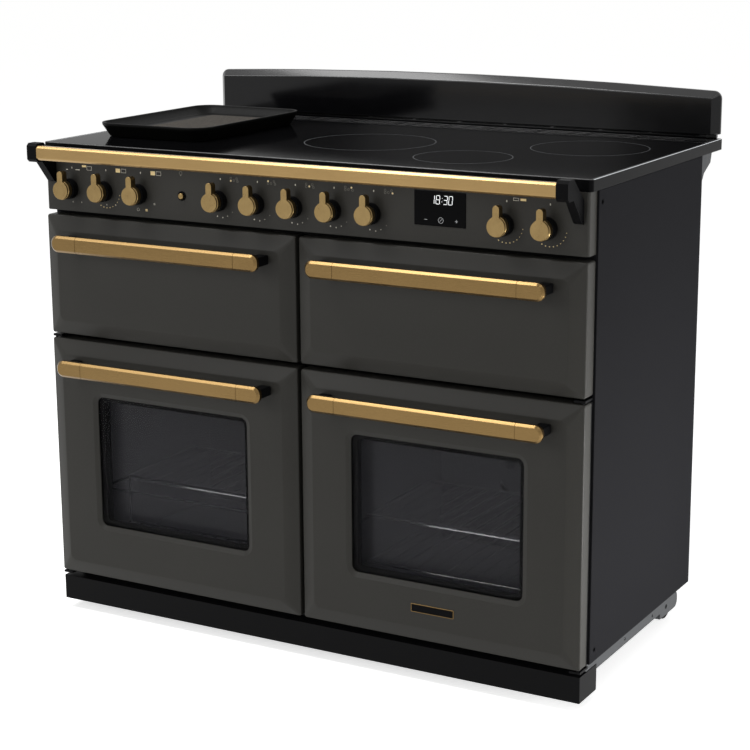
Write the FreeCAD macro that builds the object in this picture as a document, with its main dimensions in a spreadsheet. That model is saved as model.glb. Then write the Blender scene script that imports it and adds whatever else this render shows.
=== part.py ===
"""Free-standing range cooker: induction hob, two side-hinged ovens, grill drawer, storage drawer.

Millimetres. X runs to the right, Y to the back and Z up. The origin is on the floor, midway between
the front of the handrail and the rear edge of the hob, on the cooker's centre line.
"""
import FreeCAD
import Part
import os
import types

import Sketcher

Vector = FreeCAD.Vector
doc = FreeCAD.newDocument("range_cooker")

SIZES = {
    # Overall
    "overall_width": 1092,
    "overall_depth": 663.4,
    "rail_reach": 61.4,
    "hob_overhang": 100.5,
    "sheet": 2,
    "running_gap": 0.3,
    # Heights of the front, from the floor up
    "plinth_clearance": 18.3,
    "plinth_height": 47.3,
    "gap_below_doors": 12,
    "lower_door_height": 460.4,
    "gap_between_doors": 9.8,
    "upper_door_height": 224.1,
    "gap_below_panel": 9,
    "panel_height": 103.7,
    "hob_edge": 20.4,
    # Door and drawer fronts
    "door_inset": 3.8,
    "centre_gap": 7,
    "front_setback": 2.8,
    "skin_depth": 26,
    "door_depth": 31.2,
    "field_border": 29,
    "field_rise": 10,
    "window_margin": 103.85,
    "window_sill": 107,
    "window_head": 102.4,
    "pane_lap": 10,
    "outer_pane": 4,
    "inner_pane": 3,
    # Handles
    "handle_inset": 44.2,
    "handle_outer_inset": 50,
    "handle_height": 30.4,
    "handle_depth": 12,
    "handle_reach": 58,
    "handle_drop": 43.4,
    "handle_bevel": 3,
    "post_width": 22,
    "post_height": 17,
    "post_inset": 15,
    # Side-hinged doors
    "pin_radius": 2.5,
    "pin_inset": 5.5,
    "pin_length": 10,
    "hinge_plate": 4,
    "hinge_width": 20,
    "hinge_clearance": 2.5,
    # Carcass
    "side_fold": 34,
    "door_gap": 1.8,
    "base_inset": 24,
    "base_height": 42.7,
    "base_rise": 1.1,
    "base_rail": 30,
    "base_rear_space": 79.5,
    "frame_plate": 3,
    "frame_inset": 6,
    "plinth_inset": 4.3,
    "plinth_return": 72,
    "gusset_reach": 60,
    "gusset_height": 46,
    "gusset_inset": 4,
    "gusset_plate": 3,
    "gusset_tip": 18.4,
    "gusset_slant": 6,
    "gusset_web": 20,
    "gusset_web_drop": 34.5,
    "gusset_toe": 12,
    # Ovens and upper chambers
    "oven_margin": 54.35,
    "oven_floor_rise": 34.4,
    "oven_head": 46,
    "oven_rear_space": 71.5,
    "chamber_floor_rise": 14.2,
    "chamber_head": 19.9,
    "chamber_rear_space": 81.5,
    "liner_wall": 1.5,
    "seal_width": 12,
    "ledge_width": 9,
    "ledge_height": 6,
    "ledge_inset": 40,
    "shelf_bar": 6,
    "shelf_wire": 2,
    "shelf_pitch": 30,
    "shelf_setback": 95.5,
    "left_shelf_rise": 120,
    "right_low_shelf_rise": 36,
    "right_high_shelf_rise": 126,
    # Oven fans
    "fan_radius": 72,
    "fan_plate": 2,
    "fan_hub_radius": 13,
    "fan_blade": 18,
    "blade_inset": 2.2,
    "blade_length": 26.6,
    "fan_offset": 12,
    "fan_shaft_radius": 4,
    "motor_radius": 38,
    "motor_length": 42,
    "fan_cover_size": 250,
    "fan_cover_offset": 48,
    "fan_cover_hole": 34,
    "fan_cover_pitch": 47.6,
    "post_radius": 4,
    "ring_radius": 94,
    "element_radius": 4,
    "element_leg_radius": 3,
    "grill_cross_radius": 5,
    "grill_drop": 26,
    "grill_pitch": 44,
    "grill_front_space": 80,
    # Drawers in the upper chambers
    "runner_width": 10,
    "runner_height": 8,
    "runner_rise": 34,
    "runner_end": 30,
    "slide_gap": 0.9,
    "slide_end": 51.8,
    "slide_height": 10,
    "carriage_bar": 16,
    "pan_front_gap": 8.3,
    "pan_rear_gap": 9.7,
    "pan_depth": 30,
    "grid_bar": 4,
    "drawer_inset": 14,
    "drawer_height": 125,
    "drawer_rise": 12,
    # Hob
    "hob_setback": 3.3,
    "hob_rim": 6,
    "hob_ledge": 8,
    "glass_thickness": 7,
    "glass_gap": 0.5,
    "vent_gap": 2.7,
    "vent_depth": 55.3,
    "vent_slot": 12,
    "vent_bar": 6,
    "vent_segment": 100,
    "tray_floor": 2,
    "coil_gap": 1.4,
    "coil_big": 110,
    "coil_big_offset": -6,
    "coil_big_setback": 258.2,
    "coil_small": 74,
    "coil_small_edge": 306,
    "coil_small_setback": 147.2,
    "coil_mid": 97,
    "coil_mid_edge": 160,
    "coil_mid_rear": 159.6,
    "coil_left": 84,
    "coil_spacing": 4,
    # Upstand
    "upstand_inset": 2,
    "upstand_depth": 20,
    "upstand_height": 78.5,
    "upstand_crown": 12,
    "upstand_corner": 15,
    "upstand_bevel": 13,
    "upstand_wall": 3,
    "upstand_gap": 7.5,
    "upstand_foot_inset": 24,
    "upstand_foot_depth": 10,
    # Handrail
    "rail_inset": 34,
    "rail_height": 26,
    "rail_depth": 14,
    "rail_bevel": 4,
    "rail_drop": 12,
    "cap_width": 21,
    "cap_height": 34,
    "cap_depth": 28,
    "cap_bevel": 5,
    "leg_width": 15,
    "leg_foot_rise": 52,
    "leg_foot_height": 38,
    "leg_toe": 6,
    # Control panel
    "knob_height": 41.5,
    "left_knob_edge": 55.2,
    "right_knob_edge": 72.2,
    "button_space": 171.5,
    "knob_reach": 32,
    "knob_cap_radius": 17.7,
    "knob_cap_depth": 15,
    "knob_skirt_radius": 18.5,
    "knob_tab_width": 12,
    "knob_tab_height": 35,
    "knob_gap": 0.6,
    "shaft_radius": 3,
    "shaft_length": 20,
    "switch_size": 36,
    "switch_depth": 16,
    "button_offset": 93.5,
    "button_height": 44.5,
    "button_radius": 7,
    "button_reach": 6,
    "button_collar": 9.5,
    "button_collar_depth": 3,
    "display_width": 95.5,
    "display_left_space": 82,
    "display_right_space": 69,
    "display_bottom": 29.5,
    "display_head": 16.2,
    "display_proud": 0.8,
    "display_flange": 4,
    "display_depth": 12,
    # Griddle
    "griddle_edge": 38.8,
    "griddle_offset": 20.4,
    "griddle_width": 240.4,
    "griddle_length": 363.2,
    "griddle_height": 27.2,
    "griddle_taper": 14,
    "griddle_wall": 5,
    # Feet, rollers, mains
    "foot_inset": 24,
    "foot_radius": 16,
    "foot_height": 10,
    "foot_setback": 80,
    "stud_radius": 6,
    "stud_length": 85,
    "boss_radius": 9,
    "boss_length": 35,
    "roller_radius": 33,
    "roller_width": 20,
    "axle_radius": 4,
    "axle_inset": 5,
    "bracket_plate": 4,
    "bracket_width": 56,
    "bracket_drop": 8,
    "bracket_rise": 23,
    "bracket_overhang": 8.5,
    "terminal_inset": 116,
    "terminal_width": 130,
    "terminal_depth": 50,
    "terminal_height": 100,
    "terminal_rise": 60,
    "cable_entry_radius": 11,
    # Rack on the left oven door
    "rack_wire": 2.5,
    "rack_floor_wire": 2,
    "rack_left": 80,
    "rack_right": 113.7,
    "rack_depth": 82.5,
    "rack_height": 92,
    "rack_drop": 31,
    "rack_hook": 60,
}


class Size:
    """A length that knows its number and its spelling on the sheet."""

    def __init__(self, value, text=None):
        self.value = value
        self.text = text or f"({value!r})"

    def joined(self, sign, other, value):
        return Size(value, f"({self.text} {sign} {other.text})")

    def __add__(self, other):
        other = as_size(other)
        return self.joined("+", other, self.value + other.value)

    def __sub__(self, other):
        other = as_size(other)
        return self.joined("-", other, self.value - other.value)

    def __mul__(self, other):
        other = as_size(other)
        return self.joined("*", other, self.value * other.value)

    def __truediv__(self, other):
        other = as_size(other)
        return self.joined("/", other, self.value / other.value)

    def __neg__(self):
        return Size(-self.value, f"(0 - {self.text})")


def as_size(length):
    """Take a Size as it is and a plain number as a fixed length."""
    return length if isinstance(length, Size) else Size(length)


def fill_sheet(values):
    """Put each size in a cell of its own and hand back the named lengths."""
    sheet = doc.addObject("Spreadsheet::Sheet", "Sizes")
    named = types.SimpleNamespace()
    for row, (alias, value) in enumerate(values.items(), start=1):
        sheet.set(f"A{row}", alias)
        sheet.set(f"B{row}", str(value))
        sheet.setAlias(f"B{row}", alias)
        setattr(named, alias, Size(value, f"Sizes.{alias}"))
    doc.recompute()
    return named


s = fill_sheet(SIZES)

# Planes that several pieces share
half_width = s.overall_width / 2
face_y = s.rail_reach - s.overall_depth / 2
rear_y = s.overall_depth / 2
body_rear_y = rear_y - s.hob_overhang
panel_y = face_y + s.front_setback
door_back_y = face_y + s.door_depth
side_y = door_back_y + s.door_gap
frame_y = side_y + s.sheet
cavity_y = frame_y + s.frame_plate
plinth_top = s.plinth_clearance + s.plinth_height
lower_bottom = plinth_top + s.gap_below_doors
lower_top = lower_bottom + s.lower_door_height
upper_bottom = lower_top + s.gap_between_doors
upper_top = upper_bottom + s.upper_door_height
panel_bottom = upper_top + s.gap_below_panel
hob_bottom = panel_bottom + s.panel_height
hob_height = hob_bottom + s.hob_edge
base_top = lower_bottom + s.base_rise
base_bottom = base_top - s.base_height
base_half_width = half_width - s.base_inset
base_rear_y = body_rear_y - s.base_rear_space
door_outer = half_width - s.door_inset
door_inner = s.centre_gap / 2
door_middle = (door_outer + door_inner) / 2
oven_floor = lower_bottom + s.oven_floor_rise
oven_top = lower_top - s.oven_head
oven_rear = body_rear_y - s.oven_rear_space
fan_z = (oven_floor + oven_top) / 2
chamber_floor = upper_bottom + s.chamber_floor_rise
chamber_top = upper_top - s.chamber_head
chamber_rear = body_rear_y - s.chamber_rear_space
runner_top = chamber_floor + s.runner_rise + s.runner_height
slide_bottom = runner_top + s.running_gap
slide_span = (door_back_y, chamber_rear - s.slide_end)
glass_bottom = hob_height - s.glass_thickness
hob_front = face_y + s.hob_setback
glass_front = hob_front + s.hob_rim + s.glass_gap
vent_rear = rear_y - s.upstand_depth - s.vent_gap
vent_front = vent_rear - s.vent_depth
glass_rear = vent_front - s.glass_gap
glass_middle = (glass_front + glass_rear) / 2
griddle_middle_x = s.griddle_edge + s.griddle_width / 2 - half_width
rail_front = face_y - s.rail_reach
rail_half_length = half_width - s.rail_inset
rail_axis_z = hob_height - s.rail_drop
knob_z = panel_bottom + s.knob_height
LEFT, RIGHT = -1, 1
SIDES = {"left": LEFT, "right": RIGHT}
FAN_BLADES = 12
GRILL_BARS = 7
LEFT_KNOBS, HOB_KNOBS, RIGHT_KNOBS = KNOB_GROUPS = 3, 5, 2
# A round end takes a little less than half of the height, which leaves a sliver of flat for the edges.
ROUND_END = 0.48
# Two places closer than this are one place, and an edge further than the clearance from a face is not on it.
SAME_PLACE = 0.001
EDGE_CLEARANCE = 1


def bind(item, prop, length):
    """Tie a property of an object to the sheet."""
    item.setExpression(prop, as_size(length).text)


def about(middle, width):
    """The two ends of a width centred on a place."""
    return as_size(middle) - as_size(width) / 2, as_size(middle) + as_size(width) / 2


def on_side(side, low, high):
    """Two distances from the centre line, set on the left or the right."""
    return (as_size(low), as_size(high)) if side == RIGHT else (-as_size(high), -as_size(low))


def inset(span, low, high=None):
    """Draw both ends of a span inwards."""
    return span[0] + low, span[1] - (low if high is None else high)


def box(name, x, y, z):
    """A block between two places on each axis."""
    solid = doc.addObject("Part::Box", name)
    for axis, side, (low, high) in zip("xyz", ("Length", "Width", "Height"), (x, y, z)):
        bind(solid, side, as_size(high) - low)
        bind(solid, f"Placement.Base.{axis}", low)
    return solid


TURNS = {
    "x": FreeCAD.Rotation(Vector(0, 1, 0), 90),
    "y": FreeCAD.Rotation(Vector(1, 0, 0), -90),
    "z": FreeCAD.Rotation(),
}


def rod(name, axis, at, radius, span):
    """A cylinder along an axis, at a place on the two other axes."""
    solid = doc.addObject("Part::Cylinder", name)
    solid.Placement = FreeCAD.Placement(Vector(), TURNS[axis])
    bind(solid, "Radius", radius)
    bind(solid, "Height", as_size(span[1]) - span[0])
    bind(solid, f"Placement.Base.{axis}", span[0])
    for other, place in zip([letter for letter in "xyz" if letter != axis], at):
        bind(solid, f"Placement.Base.{other}", place)
    return solid


def frustum(name, depth, near, far, upright=False):
    """A block whose two ends differ: near and far are pairs of spans.

    Lying, it runs along Y and its ends are given in X and Z. Upright, it runs along Z and its ends
    are given in X and Y.
    """
    solid = doc.addObject("Part::Wedge", name)
    if upright:
        solid.Placement = FreeCAD.Placement(Vector(), FreeCAD.Rotation(Vector(1, 0, 0), 90))
        near, far = [(x, (-y[1], -y[0])) for x, y in (near, far)]
    for prop, length in zip(("Ymin", "Ymax"), depth):
        bind(solid, prop, length)
    for mark, (x, z) in (("", near), ("2", far)):
        for letter, span in (("X", x), ("Z", z)):
            bind(solid, f"{letter}{mark}min", span[0])
            bind(solid, f"{letter}{mark}max", span[1])
    return solid


def fuse(name, *pieces):
    """Join pieces to one solid."""
    joined = doc.addObject("Part::MultiFuse", name)
    joined.Shapes = list(pieces)
    return joined


def cut(name, base, *tools):
    """Take one or more pieces out of a solid."""
    result = doc.addObject("Part::Cut", name)
    result.Base = base
    result.Tool = tools[0] if len(tools) == 1 else fuse(f"{name}_tools", *tools)
    return result


def group(name, *solids):
    """Keep separate solids together as one sub-part."""
    together = doc.addObject("Part::Compound", name)
    together.Links = list(solids)
    return together


def mirrored(name, source):
    """The same piece on the other side of the centre line."""
    twin = doc.addObject("Part::Mirroring", name)
    twin.Source = source
    twin.Normal = Vector(1, 0, 0)
    return twin


def pair(name, right):
    """A right-hand piece and its mirror image."""
    return group(name, right, mirrored(f"{name}_twin", right))


def sketch_on(part, name, plane, lift):
    """An empty sketch on one of the body's own planes, lifted along its normal."""
    sketch = part.newObject("Sketcher::SketchObject", name)
    origin = [item for item in part.Origin.OriginFeatures if item.Role == plane]
    sketch.AttachmentSupport = [(origin[0], "")]
    sketch.MapMode = "FlatFace"
    bind(sketch, "AttachmentOffset.Base.z", lift)
    return sketch


def held(sketch, kind, geometry, point, length):
    """Place a point of a sketch by a distance from the origin."""
    number = sketch.addConstraint(Sketcher.Constraint(kind, geometry, point, length.value))
    sketch.setExpression(f"Constraints[{number}]", length.text)


def outline(sketch, corners):
    """Draw a closed outline of straight sides, each corner placed by two distances."""
    corners = [(as_size(x), as_size(y)) for x, y in corners]
    first = sketch.GeometryCount
    count = len(corners)
    points = [Vector(x.value, y.value, 0) for x, y in corners]
    for index in range(count):
        sketch.addGeometry(Part.LineSegment(points[index], points[(index + 1) % count]))
    for index, (x, y) in enumerate(corners):
        following = first + (index + 1) % count
        sketch.addConstraint(Sketcher.Constraint("Coincident", first + index, 2, following, 1))
        held(sketch, "DistanceX", first + index, 1, x)
        held(sketch, "DistanceY", first + index, 1, y)


def rectangle(sketch, x, y):
    """Draw a rectangle between two places on each sketch axis."""
    outline(sketch, [(x[0], y[0]), (x[1], y[0]), (x[1], y[1]), (x[0], y[1])])


def circle(sketch, x, y, radius):
    """Draw a circle by its centre and radius."""
    x, y, radius = as_size(x), as_size(y), as_size(radius)
    shape = Part.Circle(Vector(x.value, y.value, 0), Vector(0, 0, 1), radius.value)
    number = sketch.addGeometry(shape)
    held(sketch, "DistanceX", number, 3, x)
    held(sketch, "DistanceY", number, 3, y)
    mark = sketch.addConstraint(Sketcher.Constraint("Radius", number, radius.value))
    sketch.setExpression(f"Constraints[{mark}]", radius.text)


def extrude(part, kind, name, sketch, length, backwards=False):
    """Pad or pocket a sketch by a length."""
    feature = part.newObject(f"PartDesign::{kind}", name)
    feature.Profile = sketch
    bind(feature, "Length", length)
    feature.Reversed = backwards
    return feature


def dress(part, kind, name, base, prop, length, test):
    """Fillet or chamfer the edges of a feature that pass a test."""
    doc.recompute()
    edges = [f"Edge{number}" for number, edge in enumerate(base.Shape.Edges, start=1) if test(edge)]
    feature = part.newObject(f"PartDesign::{kind}", name)
    feature.Base = (base, edges)
    bind(feature, prop, length)
    return feature


def runs_along_y(edge):
    """Tell whether a straight edge runs from front to back."""
    ends = [vertex.Point for vertex in edge.Vertexes]
    if len(ends) != 2:
        return False
    step = ends[1] - ends[0]
    return abs(step.x) < SAME_PLACE and abs(step.z) < SAME_PLACE


def lies_at_y(edge, place):
    """Tell whether an edge lies in one plane across the cooker."""
    bounds = edge.BoundBox
    return abs(bounds.YMin - place.value) < SAME_PLACE and abs(bounds.YMax - place.value) < SAME_PLACE


nodes = []


def keep(item):
    """Mark a finished sub-part: its label names its file."""
    nodes.append(item)
    return item


# Carcass: base frame, side panels, back panel and front frame
foot_x = base_half_width - s.foot_inset
foot_y = frame_y + s.foot_setback


def base_frame():
    """Base frame of folded channel, open below, with a threaded boss for each front foot."""
    outer_x = (-base_half_width, base_half_width)
    outer_y = (frame_y, base_rear_y)
    inner_x = inset(outer_x, s.base_rail)
    inner_y = inset(outer_y, s.base_rail)
    height = (base_bottom, base_top)
    hollow = (base_bottom, base_top - s.sheet)
    ring = cut("base_ring", box("base_outer", outer_x, outer_y, height),
               box("base_inner", inner_x, inner_y, height))
    channel = cut("base_channel",
                  box("channel_outer", inset(outer_x, s.sheet), inset(outer_y, s.sheet), hollow),
                  box("channel_inner", inset(inner_x, -s.sheet), inset(inner_y, -s.sheet), hollow))
    bosses = []
    holes = []
    for name, side in SIDES.items():
        at = (foot_x * side, foot_y)
        boss_z = (base_top - s.boss_length, base_top)
        bosses.append(rod(f"boss_{name}", "z", at, s.boss_radius, boss_z))
        holes.append(rod(f"boss_hole_{name}", "z", at, s.stud_radius + s.running_gap, height))
    return cut("base_frame", fuse("base_fold", cut("base_folded", ring, channel), *bosses), *holes)


def side_panels():
    """Two side sheets with all four edges folded inwards."""
    x = (half_width - s.side_fold, half_width)
    y = (side_y, body_rear_y)
    z = (base_top, hob_bottom)
    outer = box("side_outer", x, y, z)
    hollow = box("side_hollow", (x[0], x[1] - s.sheet), inset(y, s.sheet), inset(z, s.sheet))
    return pair("side_panels", cut("side_tray", outer, hollow))


def back_panel():
    """Back sheet with two gussets that carry the overhanging rear of the hob."""
    plate_y = (body_rear_y, body_rear_y + s.sheet)
    plate = box("back_plate", (-half_width, half_width), plate_y, (base_top, hob_bottom))
    part = doc.addObject("PartDesign::Body", "gusset")
    sketch = sketch_on(part, "gusset_profile", "YZ_Plane", half_width - s.gusset_inset - s.gusset_plate)
    root = body_rear_y + s.sheet
    tip = body_rear_y + s.gusset_reach
    outline(sketch, [
        (root, hob_bottom),
        (tip, hob_bottom),
        (tip - s.gusset_slant, hob_bottom - s.gusset_tip),
        (root + s.gusset_web, hob_bottom - s.gusset_web_drop),
        (root + s.gusset_toe, hob_bottom - s.gusset_height),
        (root, hob_bottom - s.gusset_height),
    ])
    extrude(part, "Pad", "gusset_plate", sketch, s.gusset_plate)
    return fuse("back_panel", plate, part, mirrored("gusset_twin", part))


def oven_span(side):
    """Inside width of an oven or chamber."""
    return inset(on_side(side, door_inner, door_outer), s.oven_margin)


def front_frame():
    """Front plate with an opening for each oven and each upper chamber."""
    y = (frame_y, cavity_y)
    half = half_width - s.frame_inset
    plate = box("frame_plate", (-half, half), y, (base_top + s.sheet, panel_bottom))
    openings = []
    for name, side in SIDES.items():
        openings.append(box(f"oven_mouth_{name}", oven_span(side), y, (oven_floor, oven_top)))
        openings.append(box(f"chamber_mouth_{name}", oven_span(side), y, (chamber_floor, chamber_top)))
    return cut("front_frame", plate, *openings)


def liner(name, x, rear, z):
    """A box of sheet, open at the front, around an inside space."""
    outer = box(f"{name}_outer", (x[0] - s.liner_wall, x[1] + s.liner_wall),
                (cavity_y, rear + s.liner_wall), (z[0] - s.liner_wall, z[1] + s.liner_wall))
    return outer, box(f"{name}_inside", x, (cavity_y, rear), z)


def oven_liners():
    """Two enamelled oven linings, each with a hole for the fan shaft."""
    linings = []
    for name, side in SIDES.items():
        outer, inside = liner(f"oven_{name}", oven_span(side), oven_rear, (oven_floor, oven_top))
        hole = rod(f"oven_{name}_hole", "y", (door_middle * side, fan_z),
                   s.fan_shaft_radius + s.running_gap, (oven_rear, oven_rear + s.liner_wall))
        linings.append(cut(f"oven_{name}_lining", outer, inside, hole))
    return group("oven_liners", *linings)


def upper_chambers():
    """Linings of the grill chamber and the storage chamber."""
    linings = []
    for name, side in SIDES.items():
        outer, inside = liner(f"chamber_{name}", oven_span(side), chamber_rear,
                              (chamber_floor, chamber_top))
        linings.append(cut(f"chamber_{name}_lining", outer, inside))
    return group("upper_chambers", *linings)


def door_seals():
    """A woven seal on the front frame around each oven."""
    seals = []
    for name, side in SIDES.items():
        x = oven_span(side)
        z = (oven_floor, oven_top)
        y = (door_back_y + s.running_gap, frame_y)
        around = box(f"seal_{name}_outer", inset(x, -s.seal_width), y, inset(z, -s.seal_width))
        mouth = box(f"seal_{name}_mouth", x, y, z)
        seals.append(cut(f"seal_{name}", around, mouth))
    return group("door_seals", *seals)


# Inside the ovens
def shelf_heights():
    """The side and the height above the oven floor of each shelf."""
    return [
        ("left", LEFT, s.left_shelf_rise),
        ("right_low", RIGHT, s.right_low_shelf_rise),
        ("right_high", RIGHT, s.right_high_shelf_rise),
    ]


def cavity_rails():
    """Ledges that carry the oven shelves, and the fixed runners of the drawers."""
    rails = []
    for name, side, rise in shelf_heights():
        x = oven_span(side)
        y = (cavity_y + s.ledge_inset, oven_rear - s.fan_cover_offset - s.sheet)
        z = (oven_floor + rise - s.ledge_height, oven_floor + rise)
        rails.append(box(f"ledge_{name}_near", (x[0], x[0] + s.ledge_width), y, z))
        rails.append(box(f"ledge_{name}_far", (x[1] - s.ledge_width, x[1]), y, z))
    for name, side in SIDES.items():
        x = oven_span(side)
        y = (cavity_y, chamber_rear - s.runner_end)
        z = (runner_top - s.runner_height, runner_top)
        rails.append(box(f"runner_{name}_near", (x[0], x[0] + s.runner_width), y, z))
        rails.append(box(f"runner_{name}_far", (x[1] - s.runner_width, x[1]), y, z))
    return group("cavity_rails", *rails)


def grid_places(span, pitch):
    """Evenly spaced places inside a span, about one pitch apart."""
    count = max(2, round((span[1].value - span[0].value) / pitch.value))
    return [span[0] + (span[1] - span[0]) * number / count for number in range(1, count)]


def wire_shelf(name, side, rise):
    """A square-bar frame with wires from front to back."""
    x = inset(oven_span(side), s.slide_gap)
    y = (cavity_y + s.shelf_setback, oven_rear - s.fan_cover_offset - s.shelf_bar)
    z = (oven_floor + rise, oven_floor + rise + s.shelf_bar)
    around = box(f"shelf_{name}_outer", x, y, z)
    middle = box(f"shelf_{name}_middle", inset(x, s.shelf_bar), inset(y, s.shelf_bar), z)
    frame = cut(f"shelf_{name}_frame", around, middle)
    wire_z = z[0] + s.shelf_bar / 2
    wires = [
        rod(f"shelf_{name}_wire_{number}", "y", (place, wire_z), s.shelf_wire, inset(y, s.shelf_bar / 2))
        for number, place in enumerate(grid_places(inset(x, s.shelf_bar), s.shelf_pitch))
    ]
    return fuse(f"shelf_{name}", frame, *wires)


def oven_shelves():
    """One shelf in the left oven, two in the right."""
    return group("oven_shelves", *[wire_shelf(*place) for place in shelf_heights()])


def fan_covers():
    """Pressed covers in front of the fans, on four posts each, with a ring of intake holes."""
    covers = []
    rear = oven_rear - s.fan_cover_offset + s.sheet
    for name, side in SIDES.items():
        middle = door_middle * side
        plate_y = (rear - s.sheet, rear)
        plate = box(f"fan_cover_{name}_plate", about(middle, s.fan_cover_size), plate_y,
                    about(fan_z, s.fan_cover_size))
        holes = [rod(f"fan_cover_{name}_eye", "y", (middle, fan_z), s.fan_cover_hole / 2, plate_y)]
        for across in (-1, 0, 1):
            for up in (-1, 0, 1):
                if across or up:
                    at = (middle + s.fan_cover_pitch * across, fan_z + s.fan_cover_pitch * up)
                    holes.append(rod(f"fan_cover_{name}_hole_{across + 1}{up + 1}", "y", at,
                                     s.fan_cover_hole / 2, plate_y))
        sheet = cut(f"fan_cover_{name}_sheet", plate, *holes)
        reach = s.fan_cover_size / 2 - s.post_radius * 2
        posts = [
            rod(f"fan_cover_{name}_post_{across + 1}{up + 1}", "y",
                (middle + reach * across, fan_z + reach * up), s.post_radius, (rear - s.sheet, oven_rear))
            for across in (-1, 1) for up in (-1, 1)
        ]
        covers.append(fuse(f"fan_cover_{name}", sheet, *posts))
    return group("fan_covers", *covers)


def fan_motors():
    """Motors on the rear of the oven linings, with shafts that reach into the ovens."""
    motors = []
    rear = oven_rear + s.liner_wall
    for name, side in SIDES.items():
        at = (door_middle * side, fan_z)
        can = rod(f"motor_{name}_can", "y", at, s.motor_radius, (rear, rear + s.motor_length))
        shaft = rod(f"motor_{name}_shaft", "y", at, s.fan_shaft_radius,
                    (oven_rear - s.fan_offset - s.fan_blade, rear + s.motor_length / 2))
        motors.append(fuse(f"motor_{name}", can, shaft))
    return group("fan_motors", *motors)


def oven_fan(name, side):
    """A fan wheel: hub and back plate with a ring of blades, drawn about its own axis."""
    part = doc.addObject("PartDesign::Body", f"oven_fan_{name}")
    bind(part, "Placement.Base.x", door_middle * side)
    bind(part, "Placement.Base.y", oven_rear - s.fan_offset)
    bind(part, "Placement.Base.z", fan_z)
    plate = sketch_on(part, f"fan_{name}_plate_outline", "XZ_Plane", 0)
    circle(plate, 0, 0, s.fan_radius)
    extrude(part, "Pad", f"fan_{name}_plate", plate, s.fan_plate)
    hub = sketch_on(part, f"fan_{name}_hub_outline", "XZ_Plane", 0)
    circle(hub, 0, 0, s.fan_hub_radius)
    extrude(part, "Pad", f"fan_{name}_hub", hub, s.fan_blade)
    bore = sketch_on(part, f"fan_{name}_bore_outline", "XZ_Plane", 0)
    circle(bore, 0, 0, s.fan_shaft_radius + s.running_gap)
    extrude(part, "Pocket", f"fan_{name}_bore", bore, s.fan_blade, backwards=True)
    blade = sketch_on(part, f"fan_{name}_blade_outline", "XZ_Plane", 0)
    tip = s.fan_radius - s.blade_inset
    rectangle(blade, (tip - s.blade_length, tip), about(0, s.fan_plate))
    first = extrude(part, "Pad", f"fan_{name}_blade", blade, s.fan_blade)
    doc.recompute()
    ring = part.newObject("PartDesign::PolarPattern", f"fan_{name}_blades")
    ring.Originals = [first]
    ring.Axis = (plate, ["N_Axis"])
    ring.Angle = 360
    ring.Occurrences = FAN_BLADES
    part.Tip = ring
    return part


def heating_elements():
    """Ring elements round the fans and a bar element under the grill chamber's roof."""
    elements = []
    place = oven_rear - s.fan_offset - s.fan_blade / 2
    for name, side in SIDES.items():
        middle = door_middle * side
        ring = doc.addObject("Part::Torus", f"ring_{name}")
        ring.Placement = FreeCAD.Placement(Vector(), TURNS["y"])
        bind(ring, "Radius1", s.ring_radius)
        bind(ring, "Radius2", s.element_radius)
        bind(ring, "Placement.Base.x", middle)
        bind(ring, "Placement.Base.y", place)
        bind(ring, "Placement.Base.z", fan_z)
        legs = [
            rod(f"ring_{name}_leg_{step + 1}", "y", (middle + s.ring_radius * step, fan_z),
                s.element_leg_radius, (place, oven_rear))
            for step in (-1, 1)
        ]
        elements.append(fuse(f"ring_element_{name}", ring, *legs))
    middle = door_middle * LEFT
    grill_z = chamber_top - s.grill_drop
    bars_y = (cavity_y + s.grill_front_space, chamber_rear)
    steps = [number - GRILL_BARS // 2 for number in range(GRILL_BARS)]
    bars = [
        rod(f"grill_bar_{number}", "y", (middle + s.grill_pitch * step, grill_z), s.element_radius, bars_y)
        for number, step in enumerate(steps)
    ]
    reach = (middle + s.grill_pitch * steps[0], middle + s.grill_pitch * steps[-1])
    bars.append(rod("grill_cross", "x", (bars_y[0], grill_z), s.grill_cross_radius, reach))
    elements.append(fuse("grill_element", *bars))
    return group("heating_elements", *elements)


# Front: doors, drawer fronts and handles
def door_span(side):
    """Width of a door or drawer front."""
    return on_side(side, door_inner, door_outer)


def front_shell(name, side, z):
    """A pressed front: folded rim and a raised field with a wide sloping border."""
    x = door_span(side)
    rim = box(f"{name}_rim", x, (face_y, face_y + s.skin_depth), z)
    raised = frustum(f"{name}_raised", (face_y - s.field_rise, face_y),
                     (inset(x, s.field_border), inset(z, s.field_border)), (x, z))
    hollow_x = inset(x, s.sheet)
    hollow_z = inset(z, s.sheet)
    hollow = box(f"{name}_hollow", hollow_x, (face_y + s.sheet, face_y + s.skin_depth), hollow_z)
    dish = frustum(f"{name}_dish", (face_y - s.field_rise + s.sheet, face_y + s.sheet),
                   (inset(x, s.field_border), inset(z, s.field_border)), (hollow_x, hollow_z))
    return fuse(f"{name}_block", rim, raised), fuse(f"{name}_inside", hollow, dish)


def window_spans(side, lap=0):
    """Width and height of an oven window, widened by a lap."""
    x = inset(door_span(side), s.window_margin - lap)
    z = (lower_bottom + s.window_sill - lap, lower_top - s.window_head + lap)
    return x, z


def pin_places(side):
    """Where the hinge pins of a door stand."""
    return (door_outer - s.pin_inset) * side, face_y + s.pin_inset


def oven_door_skin(name, side):
    """Outer pressing of an oven door, with its window and its hinge pin holes."""
    z = (lower_bottom, lower_top)
    block, inside = front_shell(f"door_{name}", side, z)
    window_x, window_z = window_spans(side)
    opening = box(f"door_{name}_window", window_x, (face_y - s.field_rise, face_y + s.skin_depth), window_z)
    holes = rod(f"door_{name}_pin_holes", "z", pin_places(side), s.pin_radius + s.running_gap, z)
    return cut(f"oven_door_{name}_skin", block, inside, opening, holes)


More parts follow.
